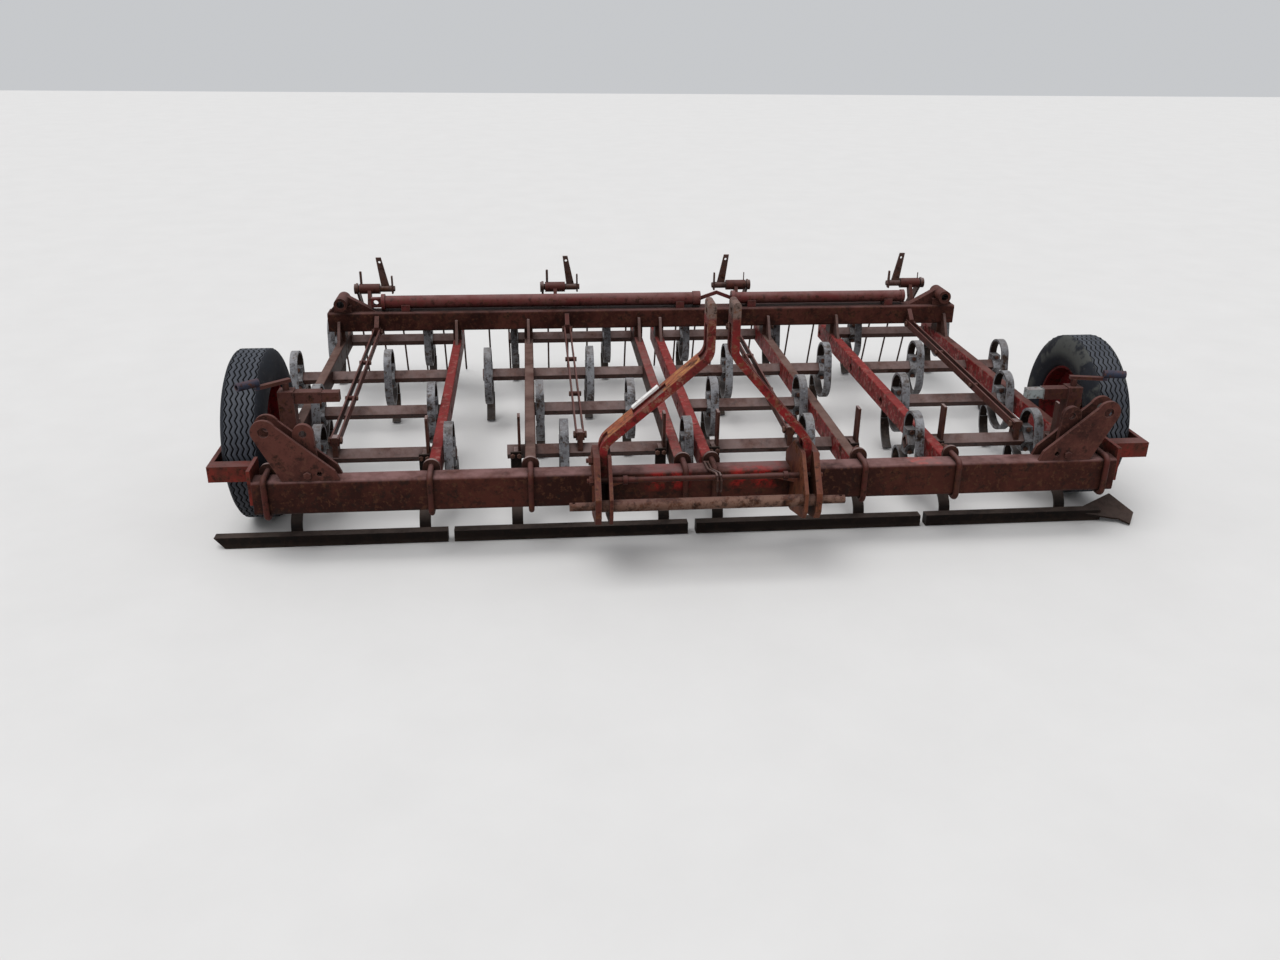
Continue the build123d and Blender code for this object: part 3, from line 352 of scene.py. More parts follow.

# Ambient occlusion darkens closed-in corners with the stain colour: this is painted shade.
corners = calc(tree, "MULTIPLY", corner_shade_mask(tree, CORNER_REACH), CORNER_SHADE)
with_corner_shade = blend(tree, corners, with_soil, STAIN_AND_SHADE)
rubbed = both_of(tree, edge_mask(tree, EDGE_RADIUS, *EDGE_TURN), remap(tree, patch, *BROKEN_UP))
feed(tree, blend(tree, rubbed, with_corner_shade, given["Worn"]), out["Color"])
dull = calc(tree, "MAXIMUM", rusty, calc(tree, "MAXIMUM", dusty, soiled))
feed(tree, remap(tree, dull, 0.0, 1.0, SMOOTH_ROUGH, DULL_ROUGH), out["Roughness"])
pits = calc(tree, "MULTIPLY", grain, calc(tree, "ADD", GRAIN_IN_PAINT, rusty))
feed(tree, calc(tree, "ADD", pits, calc(tree, "MULTIPLY", patch, PATCHES_IN_RELIEF)), out["Height"])
weathered = tree
print("group", weathered.name, len(weathered.nodes), "nodes")

# %% [markdown]
# ### A material from that group
#
# A finish is the group's colour, roughness and relief on one Principled shader. Old paint and rust have
# nearly no gloss, so the specular level is low. Some pieces carry more than one paint, such as a red rail
# welded to brown bars: for them a function of their own lays a patch over the colours before the wear does.

# %% From the group to a material
WORN = rgb(0.150, 0.078, 0.066)
MATT_SPECULAR = 0.08
PIT_STRENGTH = 0.4
PIT_DEPTH = 0.0016


def new_material(name):
    mat = bpy.data.materials.new(name)
    mat.use_nodes = True
    return mat, mat.node_tree, mat.node_tree.nodes["Principled BSDF"]


def roughen(tree, shader, height, strength, distance):
    """Bumps a shader's surface by a height that changes over it."""
    relief = add(tree, "ShaderNodeBump", Strength=strength, Distance=distance, Height=height)
    feed(tree, relief.outputs["Normal"], shader.inputs["Normal"])


def weathered_material(
    name,
    base,
    faded,
    rust,
    dust,
    rust_amount,
    dust_amount,
    soil=0.16,
    metal=0.0,
    worn=WORN,
    patches=None,
    patched=("Base", "Faded"),
):
    """Worn metal in its own colours; patches(tree, where, colour, label) may repaint those in patched."""
    mat, tree, shader = new_material(name)
    shader.inputs["Metallic"].default_value = metal
    shader.inputs["Specular IOR Level"].default_value = MATT_SPECULAR
    where = object_places(tree)
    colours = {"Base": base, "Faded": faded, "Rust": rust, "Dust": dust, "Worn": worn}
    if patches:
        for label in patched:
            colours[label] = patches(tree, where, colours[label], label)
    amounts = {"Rust_Amount": rust_amount, "Dust_Amount": dust_amount, "Soil_Height": soil}
    worn_metal = place_group(tree, weathered, Vector=where, **colours, **amounts)
    feed(tree, worn_metal["Color"], shader.inputs["Base Color"])
    feed(tree, worn_metal["Roughness"], shader.inputs["Roughness"])
    roughen(tree, shader, worn_metal["Height"], PIT_STRENGTH, PIT_DEPTH)
    return mat


print("finish function:", weathered_material.__name__)

# %% [markdown]
# ## Paint by place
#
# The reds differ. The beams are almost brown, some rails and the mast keep a stronger red, the tines are
# worn to grey-blue steel and the boards are black with soil. The first colours belong to single places on a
# piece, and every patch below works from the place of a point, so it holds still when the piece moves.
#
# ### Chipped red
#
# Where the red has lasted it is full of small pale chips. They sit on the red rails and on both mast legs, so
# the chips are a small group: a sharp cut through fine noise, which leaves islands with clear rims.

# %% Chips in red paint
CHIP_DETAIL = 7.0
CHIP_ROUGH = 0.72
CHIP_RIM, CHIP_BARE = 0.52, 0.58

tree, given, out = group_tree(
    "paint_chips",
    [("Vector", VECTOR), ("Base", COLOR), ("Chip", COLOR), ("Scale", VALUE), ("Amount", VALUE)],
    [("Color", COLOR)],
)
islands = noise(tree, given["Vector"], given["Scale"], CHIP_DETAIL, CHIP_ROUGH)
chips = remap(tree, islands, CHIP_RIM, CHIP_BARE, 0.0, given["Amount"])
feed(tree, blend(tree, chips, given["Base"], given["Chip"]), out["Color"])
paint_chips = tree
print("group", paint_chips.name, len(paint_chips.nodes), "nodes")

# %% [markdown]
# ### Rails
#
# A section is one CAD piece, but its rails and cross bars have different paint. The rails run straight to the
# rear, so a band of X picks one out. It starts behind the clamp plate and ends below the posts. The webs
# stand upright and the tops look up, which the normal tells apart.

# %% Two rails in one piece
PLATE_BACK = 0.092
RAIL_TOP_Z = 0.295
RAIL_HALF = 0.0203
SOFT_FROM, SOFT_TO = 0.0005, 0.0015
WEB_TURN = (0.6, 0.8)
RAIL_INPUTS = (("X", VALUE), ("Top", COLOR), ("Web", COLOR))
RAIL_ENDS = ("Left", "Right")

tree, given, out = group_tree(
    "rail_paint",
    [("Vector", VECTOR), ("Rest", COLOR)]
    + [("%s %s" % (rail, label), kind) for rail in RAIL_ENDS for label, kind in RAIL_INPUTS],
    [("Color", COLOR)],
)
place = parts_of(tree, given["Vector"])
behind_plate = remap(tree, place["Y"], along(PLATE_BACK) + SOFT_FROM, along(PLATE_BACK) + SOFT_TO)
below_post = remap(tree, place["Z"], RAIL_TOP_Z + SOFT_TO, RAIL_TOP_Z + SOFT_FROM)
of_rails = both_of(tree, behind_plate, below_post)
web = remap(tree, calc(tree, "ABSOLUTE", facing_parts(tree)["X"]), *WEB_TURN)
colour = given["Rest"]
for rail in RAIL_ENDS:
    on_rail = both_of(tree, band(tree, place["X"], given[rail + " X"], RAIL_HALF), of_rails)
    paint = blend(tree, web, given[rail + " Top"], given[rail + " Web"])
    colour = blend(tree, on_rail, colour, paint)
feed(tree, colour, out["Color"])
rail_paint = tree
print("group", rail_paint.name, len(rail_paint.nodes), "nodes")

# %% [markdown]
# In each section the top of the outer rail is brown and that of the inner one red, but the webs differ, so
# each rail has its own row of colours. Only the two bright reds have chips.

# %% Paint of each rail
BROWN = rgb(0.062, 0.024, 0.018)
DARK = rgb(0.034, 0.015, 0.012)
DULL_RED = rgb(0.125, 0.026, 0.022)
RED = rgb(0.200, 0.014, 0.015)
PINK_RED = rgb(0.240, 0.028, 0.027)
BROWN_DUST = rgb(0.170, 0.110, 0.095)
RED_DUST = rgb(0.185, 0.036, 0.034)
PINK_DUST = rgb(0.170, 0.078, 0.070)
CHIP_PINK = rgb(0.330, 0.150, 0.130)
RAIL_CHIPS = {"Scale": 38.0, "Amount": 0.75}
RAIL_PAINT = {
    # x of each rail, then the colour of its top, of its webs and of the dust on it
    "section_1": ((-1.458, BROWN, DARK, BROWN_DUST), (-0.916, RED, DULL_RED, RED_DUST)),
    "section_2": ((-0.579, BROWN, BROWN, BROWN_DUST), (-0.051, RED, DARK, PINK_DUST)),
    "section_3": ((0.051, PINK_RED, RED, RED_DUST), (0.579, BROWN, RED, BROWN_DUST)),
    "section_4": ((0.916, PINK_RED, RED, RED_DUST), (1.458, BROWN, RED, PINK_DUST)),
}


def chipped_if_red(tree, where, colour):
    if colour not in (RED, PINK_RED):
        return colour
    return place_group(tree, paint_chips, Vector=where, Base=colour, Chip=CHIP_PINK, **RAIL_CHIPS)["Color"]


def rail_patches(rails):
    """Each rail gets a colour for its top and edges, one for its webs and one for its dust."""

    def patches(tree, where, rest, label):
        inputs = {}
        for rail, (x, top, side, dust) in zip(RAIL_ENDS, rails):
            if label == "Dust":
                top = side = dust
            else:
                top, side = chipped_if_red(tree, where, top), chipped_if_red(tree, where, side)
            inputs.update({rail + "_X": x, rail + "_Top": top, rail + "_Web": side})
        return place_group(tree, rail_paint, Vector=where, Rest=rest, **inputs)["Color"]

    return patches


print("rails", sum(len(rails) for rails in RAIL_PAINT.values()))

# %% [markdown]
# ### Tines
#
# Soil polishes the outside of each loop and never reaches the inside, which stays dark with dirt and rust and
# is also painted darker as shade. The four rows share one finish, so it first finds the row that a point
# belongs to, from its Y. The normal then points away from that row's bar on the outside of the loop and
# towards it on the inside.

# %% Loops worn outside, dirt and painted shade inside
# Each row behind the front one, and the length at which it starts
ROW_STARTS = ((3, 0.62), (2, 1.07), (1, 1.58))
LOOP_OUTSIDE = (-0.022, -0.008)
FLECKS = (150.0, 4.0, 0.65)
FLECKED = (0.55, 0.66, 0.0, 0.75)
FLECK_GREY = rgb(0.330, 0.340, 0.360)
# Inside of the loops: dirt and rust, and painted shade as well.
LOOP_INSIDE_DIRT_AND_SHADE = rgb(0.022, 0.015, 0.012)


def tine_patches(tree, where, rest, label):
    """Loops are worn bright outside; inside they are dark with dirt and painted shade, seen from the axis of
    their own row.
    """
    place = parts_of(tree, where)
    facing_to = facing_parts(tree)
    y = calc(tree, "SUBTRACT", place["Y"], BEAM_Y)
    axis = ROW_Y[4]
    for row, first in ROW_STARTS:
        step = ROW_Y[row] - ROW_Y[row + 1]
        axis = calc(tree, "ADD", calc(tree, "MULTIPLY", calc(tree, "GREATER_THAN", y, first), step), axis)
    back = both_of(tree, facing_to["Y"], calc(tree, "SUBTRACT", y, axis))
    rise = both_of(tree, facing_to["Z"], calc(tree, "SUBTRACT", place["Z"], BAR_Z))
    outside = remap(tree, calc(tree, "ADD", back, rise), *LOOP_OUTSIDE)
    flecks = remap(tree, noise(tree, where, *FLECKS), *FLECKED)
    return blend(tree, outside, LOOP_INSIDE_DIRT_AND_SHADE, blend(tree, flecks, rest, FLECK_GREY))


print("rows told apart", len(ROW_STARTS) + 1)

# %% [markdown]
# ### Mast legs and their covers
#
# The left leg shows orange on its upper edges beside the covers and grey-brown between them, and the tops of
# both legs are worn to tan. Each place is a band of height, and the leg's own slope picks its upper edges:
# only they face straight out of the slope. The covers have streaks that run along the leg.

# %% Mast paint
ORANGE = rgb(0.300, 0.110, 0.040)
GREY_BROWN = rgb(0.150, 0.115, 0.100)
TAN = rgb(0.190, 0.130, 0.110)
STREAK_BROWN = rgb(0.260, 0.125, 0.085)
STREAK_RED = rgb(0.210, 0.036, 0.024)
OUT_OF_SLOPE = {"X": 0.654, "Z": 0.757}
UPPER_EDGE = (0.80, 0.95)
# Middle, half and soft rim of each band of height
COVERED_Z = ((0.511, 0.035, 0.004), (0.685, 0.047, 0.004))
BETWEEN_Z = (0.626, 0.011, 0.002)
WORN_TOP_Z = (0.868, 0.880)
ORANGE_NOISE, ORANGE_RANGE = (30.0, 5.0, 0.6), (0.36, 0.52)
TAN_NOISE, TAN_RANGE = (60.0, 4.0, 0.6), (0.30, 0.50, 0.55, 1.0)
STREAK_NOISE, STREAK_RANGE = (1.0, 5.0, 0.65), (0.47, 0.56)
MAST_CHIPS = {"Scale": 36.0, "Amount": 0.8}
ALONG_LEG = (9.0, 130.0, 9.0)


def mast_patches(tree, where, rest, label):
    """The left leg's upper edges are orange, grey-brown at one place; both tops are worn to tan."""
    place = parts_of(tree, where)
    facing_to = facing_parts(tree)
    out_z = both_of(tree, facing_to["Z"], OUT_OF_SLOPE["Z"])
    out_x = both_of(tree, facing_to["X"], OUT_OF_SLOPE["X"])
    edge = remap(tree, calc(tree, "SUBTRACT", out_z, out_x), *UPPER_EDGE)
    ragged = remap(tree, noise(tree, where, *ORANGE_NOISE), *ORANGE_RANGE)
    low_cover, high_cover = (band(tree, place["Z"], *z) for z in COVERED_Z)
    beside = both_of(tree, edge, calc(tree, "ADD", low_cover, high_cover))
    colour = blend(tree, both_of(tree, beside, ragged), rest, ORANGE)
    between = both_of(tree, edge, band(tree, place["Z"], *BETWEEN_Z))
    colour = blend(tree, between, colour, GREY_BROWN)
    chips = place_group(tree, paint_chips, Vector=where, Base=colour, Chip=STREAK_BROWN, **MAST_CHIPS)
    worn = remap(tree, noise(tree, where, *TAN_NOISE), *TAN_RANGE)
    return blend(tree, both_of(tree, remap(tree, place["Z"], *WORN_TOP_Z), worn), chips["Color"], TAN)


def cover_patches(tree, where, rest, label):
    """The covers' paint is worn in streaks along the leg."""
    streaks = noise(tree, stretch(tree, where, ALONG_LEG), *STREAK_NOISE)
    return blend(tree, remap(tree, streaks, *STREAK_RANGE), rest, STREAK_RED)


print("bands on the mast", len(COVERED_Z) + 2)

# %% [markdown]
# ### Beam, board and depth screws
#
# The front beam is brown, but stronger red is left in two places on its face and in one spot on its top. They
# are single places, so a band of X for each is enough, and noise makes their outline ragged.

# %% Red that is left on the front beam
BEAM_RED = rgb(0.340, 0.020, 0.018)
SPOT_RED = rgb(0.620, 0.060, 0.040)
# Middle, half and soft rim of each band of X
FACE_RED_X = ((-0.110, 0.055, 0.03), (0.200, 0.075, 0.03))
TOP_SPOT_X = (0.800, 0.045, 0.02)
FACE_RED_Z = (0.235, 0.262)
BEAM_TOP_Z = (0.3085, 0.3095)
RAGGED_NOISE, RAGGED_RANGE = (21.0, 6.0, 0.65), (0.42, 0.56)


def beam_patches(tree, where, rest, label):
    """Stronger red is left in a few places on the front beam's face and top."""
    place = parts_of(tree, where)
    ragged = remap(tree, noise(tree, where, *RAGGED_NOISE), *RAGGED_RANGE)
    left, right = (band(tree, place["X"], *x) for x in FACE_RED_X)
    upper = remap(tree, place["Z"], *FACE_RED_Z)
    face = both_of(tree, both_of(tree, calc(tree, "ADD", left, right), upper), ragged)
    colour = blend(tree, face, rest, BEAM_RED)
    spot = both_of(tree, band(tree, place["X"], *TOP_SPOT_X), remap(tree, place["Z"], *BEAM_TOP_Z))
    return blend(tree, both_of(tree, spot, ragged), colour, SPOT_RED)


print("red places on the beam", len(FACE_RED_X) + 1)

# %% [markdown]
# The last board ends in a brown flap. The knobs of both cranks are bare blue-grey steel: they are whatever
# lies further from the screw than KNOB_FROM on its outer side. The inner end of the right outrigger is pale,
# which is again a band of X.

# %% Board flap, crank knobs and the pale end
FLAP_X = (1.545, 1.575)
FLAP_BROWN = rgb(0.055, 0.033, 0.027)
BLUE_STEEL = rgb(0.036, 0.042, 0.066)
PALE_GREY = rgb(0.300, 0.330, 0.330)
SCREW_X = 1.394
SCREW_Y = 0.200
KNOB_FROM = (0.096, 0.099)
OUTWARD = (0.01, 0.02)
PALE_END_X = (1.247, 0.031, 0.002)


def board_patches(tree, where, rest, label):
    """The flap at the right end of the last board is brown, not black."""
    return blend(tree, remap(tree, parts_of(tree, where)["X"], *FLAP_X), rest, FLAP_BROWN)


def screw_patches(tree, where, rest, label):
    """Both crank knobs are blue-grey steel, and the inner end of the right outrigger is pale."""
    place = parts_of(tree, where)
    across = calc(tree, "SUBTRACT", calc(tree, "ABSOLUTE", place["X"]), SCREW_X)
    back = calc(tree, "SUBTRACT", place["Y"], along(SCREW_Y))
    squares = calc(tree, "ADD", both_of(tree, across, across), both_of(tree, back, back))
    far_out = remap(tree, calc(tree, "SQRT", squares), *KNOB_FROM)
    colour = blend(tree, both_of(tree, far_out, remap(tree, across, *OUTWARD)), rest, BLUE_STEEL)
    return blend(tree, band(tree, place["X"], *PALE_END_X), colour, PALE_GREY)


print("flap from x =", FLAP_X[0], "and knobs from", KNOB_FROM[0], "m off their screws")

# %% [markdown]
# ## Finishes
#
# Each finish is one row: four colours, how much rust and dust it has, and whatever differs from old paint,
# such as a patch function. Rows are easy to compare and to tune against each other, which matters more here
# than any single colour: the eye judges the steps between neighbours.

# %% Rust and dust
RUST = rgb(0.080, 0.032, 0.018)
BRIGHT_RUST = rgb(0.150, 0.058, 0.028)
LUG_RUST = rgb(0.105, 0.042, 0.030)
STEEL_RUST = rgb(0.075, 0.050, 0.038)
SOIL_RUST = rgb(0.022, 0.013, 0.010)
DUST = rgb(0.145, 0.078, 0.073)
BEAM_DUST = rgb(0.200, 0.110, 0.105)
RAM_DUST = rgb(0.205, 0.112, 0.108)
PALE_DUST = rgb(0.300, 0.230, 0.220)
STEEL_DUST = rgb(0.240, 0.225, 0.220)
SOIL_DUST = rgb(0.080, 0.060, 0.052)
STEEL_EDGE = rgb(0.300, 0.300, 0.310)
print("usual rust", RUST[:3], "and dust", DUST[:3])

# %% [markdown]
# Paint fades unevenly, so each one is a pair: the colour it has kept and the one it has faded to. The broad
# clouds in the group go from one to the other.

# %% Fresh and faded colour of each paint
SECTION = (BROWN, rgb(0.085, 0.038, 0.030))
BEAM = (rgb(0.026, 0.0075, 0.0055), rgb(0.068, 0.0195, 0.0135))
UPPER = (rgb(0.026, 0.0075, 0.0055), rgb(0.085, 0.026, 0.019))
LUG = (rgb(0.046, 0.016, 0.013), rgb(0.115, 0.040, 0.031))
HITCH = (rgb(0.092, 0.026, 0.019), rgb(0.170, 0.058, 0.030))
FRAME = (rgb(0.080, 0.022, 0.018), BROWN)
ARM = (rgb(0.200, 0.030, 0.022), rgb(0.080, 0.024, 0.018))
MAST = (rgb(0.230, 0.017, 0.019), rgb(0.130, 0.022, 0.020))
COVER = (rgb(0.330, 0.090, 0.032), rgb(0.430, 0.200, 0.065))
RAM = (rgb(0.120, 0.028, 0.026), rgb(0.130, 0.052, 0.046))
RIM = (rgb(0.200, 0.012, 0.015), rgb(0.110, 0.014, 0.014))
TINE = (rgb(0.275, 0.278, 0.295), rgb(0.130, 0.128, 0.136))
CRANK = (rgb(0.062, 0.022, 0.018), rgb(0.098, 0.040, 0.033))
RAKE = (rgb(0.060, 0.034, 0.029), rgb(0.100, 0.055, 0.046))
BOARD = (rgb(0.007, 0.0055, 0.005), rgb(0.013, 0.009, 0.0075))
BARE = (rgb(0.120, 0.062, 0.046), rgb(0.170, 0.095, 0.070))
print("mast", MAST[0][:3], "boards", BOARD[0][:3])

# %% [markdown]
# Now the rows, in the order of the function's inputs. The last entry names only what differs: most paint
# needs nothing there. The sections come from RAIL_PAINT, and they alone also repaint their dust.

# %% One row for each finish
OF_TINES = {"soil": 0.10, "metal": 0.2, "worn": STEEL_EDGE, "patches": tine_patches}
OF_BOARDS = {"soil": 0.02, "worn": SOIL_DUST, "patches": board_patches}
FINISHES = {
    # base and faded, rust, dust, rust amount, dust amount, and what differs from old paint
    "beam_paint": (*BEAM, RUST, BEAM_DUST, 0.28, 0.95, {"patches": beam_patches}),
    "upper_paint": (*UPPER, RUST, DUST, 0.36, 0.75, {}),
    "lug_paint": (*LUG, LUG_RUST, DUST, 0.38, 0.70, {}),
    "hitch_paint": (*HITCH, BRIGHT_RUST, DUST, 0.36, 0.50, {}),
    "frame_paint": (*FRAME, RUST, DUST, 0.34, 0.80, {}),
    "arm_paint": (*ARM, RUST, DUST, 0.36, 0.75, {}),
    "mast_paint": (*MAST, BRIGHT_RUST, DUST, 0.34, 0.35, {"patches": mast_patches}),
    "mast_cover": (*COVER, BRIGHT_RUST, DUST, 0.36, 0.25, {"patches": cover_patches}),
    "ram_paint": (*RAM, RUST, RAM_DUST, 0.30, 0.85, {}),
    "rim_paint": (*RIM, RUST, DUST, 0.20, 0.25, {}),
    "tine_steel": (*TINE, STEEL_RUST, STEEL_DUST, 0.38, 0.60, OF_TINES),
    "crank_steel": (*CRANK, RUST, DUST, 0.34, 0.50, {"patches": screw_patches}),
    "rake_steel": (*RAKE, RUST, PALE_DUST, 0.42, 0.50, {"soil": 0.05}),
    "board_steel": (*BOARD, SOIL_RUST, SOIL_DUST, 0.22, 0.85, OF_BOARDS),
    "bare_steel": (*BARE, RUST, DUST, 0.46, 0.45, {}),
}
for name, rails in RAIL_PAINT.items():
    of_section = {"patches": rail_patches(rails), "patched": ("Base", "Faded", "Dust")}
    FINISHES[name + "_paint"] = (*SECTION, RUST, PALE_DUST, 0.34, 0.85, of_section)

finish = {}
for name, (*values, different) in FINISHES.items():
    finish[name] = weathered_material(name, *values, **different)
print("finishes", sorted(finish))

# %% [markdown]
# ### The pale strip
#
# One strip on the left mast leg is nearly white. It is too clean for the weathered group, whose rust and
# painted shade in the corners would turn it brown, so it gets a plain chalky finish with a few smears.

# %% Chalky white
CHALK = rgb(0.780, 0.770, 0.750)
CHALK_ROUGH = 0.7
SMEAR_SCALE, SMEARED = 70.0, (0.55, 0.70, 0.0, 0.5)

chalky, tree, shader = new_material("pale_strip")
shader.inputs["Roughness"].default_value = CHALK_ROUGH
smear = remap(tree, noise(tree, object_places(tree), SMEAR_SCALE), *SMEARED)
feed(tree, blend(tree, smear, CHALK, GREY_BROWN), shader.inputs["Base Color"])
finish["pale_strip"] = chalky
print("finish", chalky.name)

# %% [markdown]
# ## Dress the CAD nodes
#
# The CAD pieces keep their meshes. Each gets the finish of its kind by the start of its name, so a new node
# of the same kind would be painted too.

# %% Which finish goes where
BY_NAME = [(name, name + "_paint") for name in RAIL_PAINT] + [
    ("front_beam", "beam_paint"),
    ("upper_beam", "upper_paint"),
    ("fold", "lug_paint"),
    ("hitch", "hitch_paint"),
    ("wheel_arm", "arm_paint"),
    ("depth_screw", "crank_steel"),
    ("tyre", "board_steel"),
    ("rim", "rim_paint"),
    ("tines", "tine_steel"),
    ("board", "board_steel"),
    ("rake", "rake_steel"),
    ("mast", "mast_paint"),
    ("lower_link_bar", "bare_steel"),
    ("wheel_axle", "bare_steel"),
    ("ram", "ram_paint"),
]
OTHERWISE = "frame_paint"

for name, obj in nodes.items():
    kind = next((label for start, label in BY_NAME if name.startswith(start)), OTHERWISE)
    obj.data.materials.clear()
    obj.data.materials.append(finish[kind])
print("dressed", len(nodes))

# %% [markdown]
# ## Tyres
#
# The wheels carry plain road tyres with zigzag grooves. Their rubber is blue-black, with paler worn ribs and
# nearly black grooves, and the wall of the right tyre has gone grey in patches. The distance from the axle
# tells ribs, grooves and wall apart, so one material does all of them without a seam.

# %% Tyre sizes
TYRE_R = 0.310
TYRE_W = 0.150
RIM_R = 0.190
TREAD_HALF = 0.052
print("tyre", round(2 * TYRE_R * 1000), "x", round(TYRE_W * 1000), "mm")

# %% [markdown]
# Rubber is dull but not flat: scuffs and small specks break up its blue-black. The grey of the right tyre is
# a patchy mask like that of rust, held to the outer part of the wall and to the machine's right side.

# %% Rubber of the walls
RUBBER_DARK = rgb(0.009, 0.010, 0.014)
RUBBER = rgb(0.022, 0.025, 0.032)
RUBBER_SPECK = rgb(0.085, 0.080, 0.078)
RUBBER_GREY = rgb(0.060, 0.062, 0.058)
RUBBER_SPECULAR = 0.2
RIGHT_SIDE = (0.0, 1.0)
OUTER_WALL = (RIM_R + 0.030, RIM_R + 0.060)
SCUFFS, SCUFFED = (9.0, 6.0, 0.6), (0.40, 0.66)
SPECKS, SPECKLED = (60.0, 4.0, 0.6), (0.60, 0.74, 0.0, 0.4)
BALD_SPOTS, GREYED = (8.0, 5.0, 0.6), (0.47, 0.53)

rubber, tree, shader = new_material("tyre_rubber")
shader.inputs["Specular IOR Level"].default_value = RUBBER_SPECULAR
spot = object_places(tree)
place = parts_of(tree, spot)
over = calc(tree, "SUBTRACT", place["Y"], WHEEL_Y)
high = calc(tree, "SUBTRACT", place["Z"], AXLE_Z)
from_axle = calc(tree, "SQRT", calc(tree, "ADD", both_of(tree, over, over), both_of(tree, high, high)))
scuff = remap(tree, noise(tree, spot, *SCUFFS), *SCUFFED)
speck = remap(tree, noise(tree, spot, *SPECKS), *SPECKLED)
specked = blend(tree, speck, blend(tree, scuff, RUBBER_DARK, RUBBER), RUBBER_SPECK)
patchy = remap(tree, noise(tree, spot, *BALD_SPOTS), *GREYED)
bald = both_of(tree, patchy, remap(tree, place["X"], *RIGHT_SIDE))
outer_wall = remap(tree, from_axle, *OUTER_WALL)
greyed = blend(tree, both_of(tree, bald, outer_wall), specked, RUBBER_GREY)
print("rubber", len(tree.nodes), "nodes")

# %% [markdown]
# The road wears only the ribs, the surface at the full radius, and they are paler. A groove is whatever lies
# below it within the tread's width. Fine noise as relief gives the skin its grain.

# %% Ribs, grooves and the skin's grain
RIB_DARK = rgb(0.048, 0.053, 0.066)
RIB = rgb(0.080, 0.086, 0.100)
GROOVE_BLACK = rgb(0.006, 0.006, 0.007)
RIB_FACE = (TYRE_R - 0.0016, TYRE_R - 0.0006)
GROOVE_SIDE = (TYRE_R - 0.0012, TYRE_R - 0.0024)
TREAD_SOFT = 0.001
SKIN_ROUGH = (0.0, 1.0, 0.62, 0.9)
SKIN_GRAIN = (220.0, 3.0, 0.5)
SKIN_STRENGTH, SKIN_DEPTH = 0.25, 0.001

on_rib = remap(tree, from_axle, *RIB_FACE)
ribbed = blend(tree, on_rib, greyed, blend(tree, scuff, RIB_DARK, RIB))
on_tread = band(tree, calc(tree, "ABSOLUTE", place["X"]), WHEEL_X, TREAD_HALF, TREAD_SOFT)
in_groove = both_of(tree, remap(tree, from_axle, *GROOVE_SIDE), on_tread)
feed(tree, blend(tree, in_groove, ribbed, GROOVE_BLACK), shader.inputs["Base Color"])
feed(tree, remap(tree, scuff, *SKIN_ROUGH), shader.inputs["Roughness"])
roughen(tree, shader, noise(tree, spot, *SKIN_GRAIN), SKIN_STRENGTH, SKIN_DEPTH)
print("rubber", len(tree.nodes), "nodes")

# %% [markdown]
# ### The tyre's form
#
# A tyre is a body of revolution, so its section is drawn once and spun round the axle. The grooves are dips
# in that section. Moving their points sideways by a small triangle wave as they go round turns the rings
# into zigzags, which is simpler and cleaner than cutting each groove.

# %% The tyre's section
HALF_W = TYRE_W / 2
GROOVE_X = (-0.0455, -0.0273, -0.0091, 0.0091, 0.0273, 0.0455)
GROOVE_DEPTH = 0.007
GROOVE_HALF = 0.0026
GROOVE_FLOOR = GROOVE_HALF * 0.6
LIP = 0.001
LIP_DEPTH = 0.0004
EDGE_DEPTH = 0.0012
WALL = [
    # x and radius, from the bead over the bulge of the wall to the shoulder
    (-0.056, RIM_R),
    (-0.066, RIM_R + 0.006),
    (-0.0705, RIM_R + 0.028),
    (-0.0735, RIM_R + 0.034),
    (-HALF_W, RIM_R + 0.055),
    (-HALF_W + 0.001, RIM_R + 0.074),
    (-HALF_W + 0.0045, TYRE_R - 0.030),
    (-HALF_W + 0.0105, TYRE_R - 0.015),
    (-0.0580, TYRE_R - 0.0055),
    (-0.0535, TYRE_R - 0.0025),
]


def tyre_section():
    """(x, radius) points from the left bead over the tread to the right bead."""
    dip = [(GROOVE_HALF + LIP, LIP_DEPTH), (GROOVE_HALF, EDGE_DEPTH), (GROOVE_FLOOR, GROOVE_DEPTH)]
    tread = []
    for x in GROOVE_X:
        tread += [(x - off, TYRE_R - depth) for off, depth in dip]
        tread += [(x + off, TYRE_R - depth) for off, depth in reversed(dip)]
    return WALL + tread + [(-x, r) for x, r in reversed(WALL)]


print("points in the section", len(tyre_section()))

# %% [markdown]
# Spin copies the section round the axle and joins the copies with faces, and use_merge closes the last copy
# on the first. The zigzag is then one pass over the points of the tread.

# %% Spin a tyre
STEPS = 200
ZIGZAGS = 50
ZIG = 0.0045
ACROSS = (1, 0, 0)


def as_object(name, bm, material):
    """Turns a bmesh into an object of one material in the scene."""
    mesh = bpy.data.meshes.new(name)
    bm.to_mesh(mesh)
    bm.free()
    mesh.materials.append(material)
    obj = bpy.data.objects.new(name, mesh)
    bpy.context.scene.collection.objects.link(obj)
    return obj


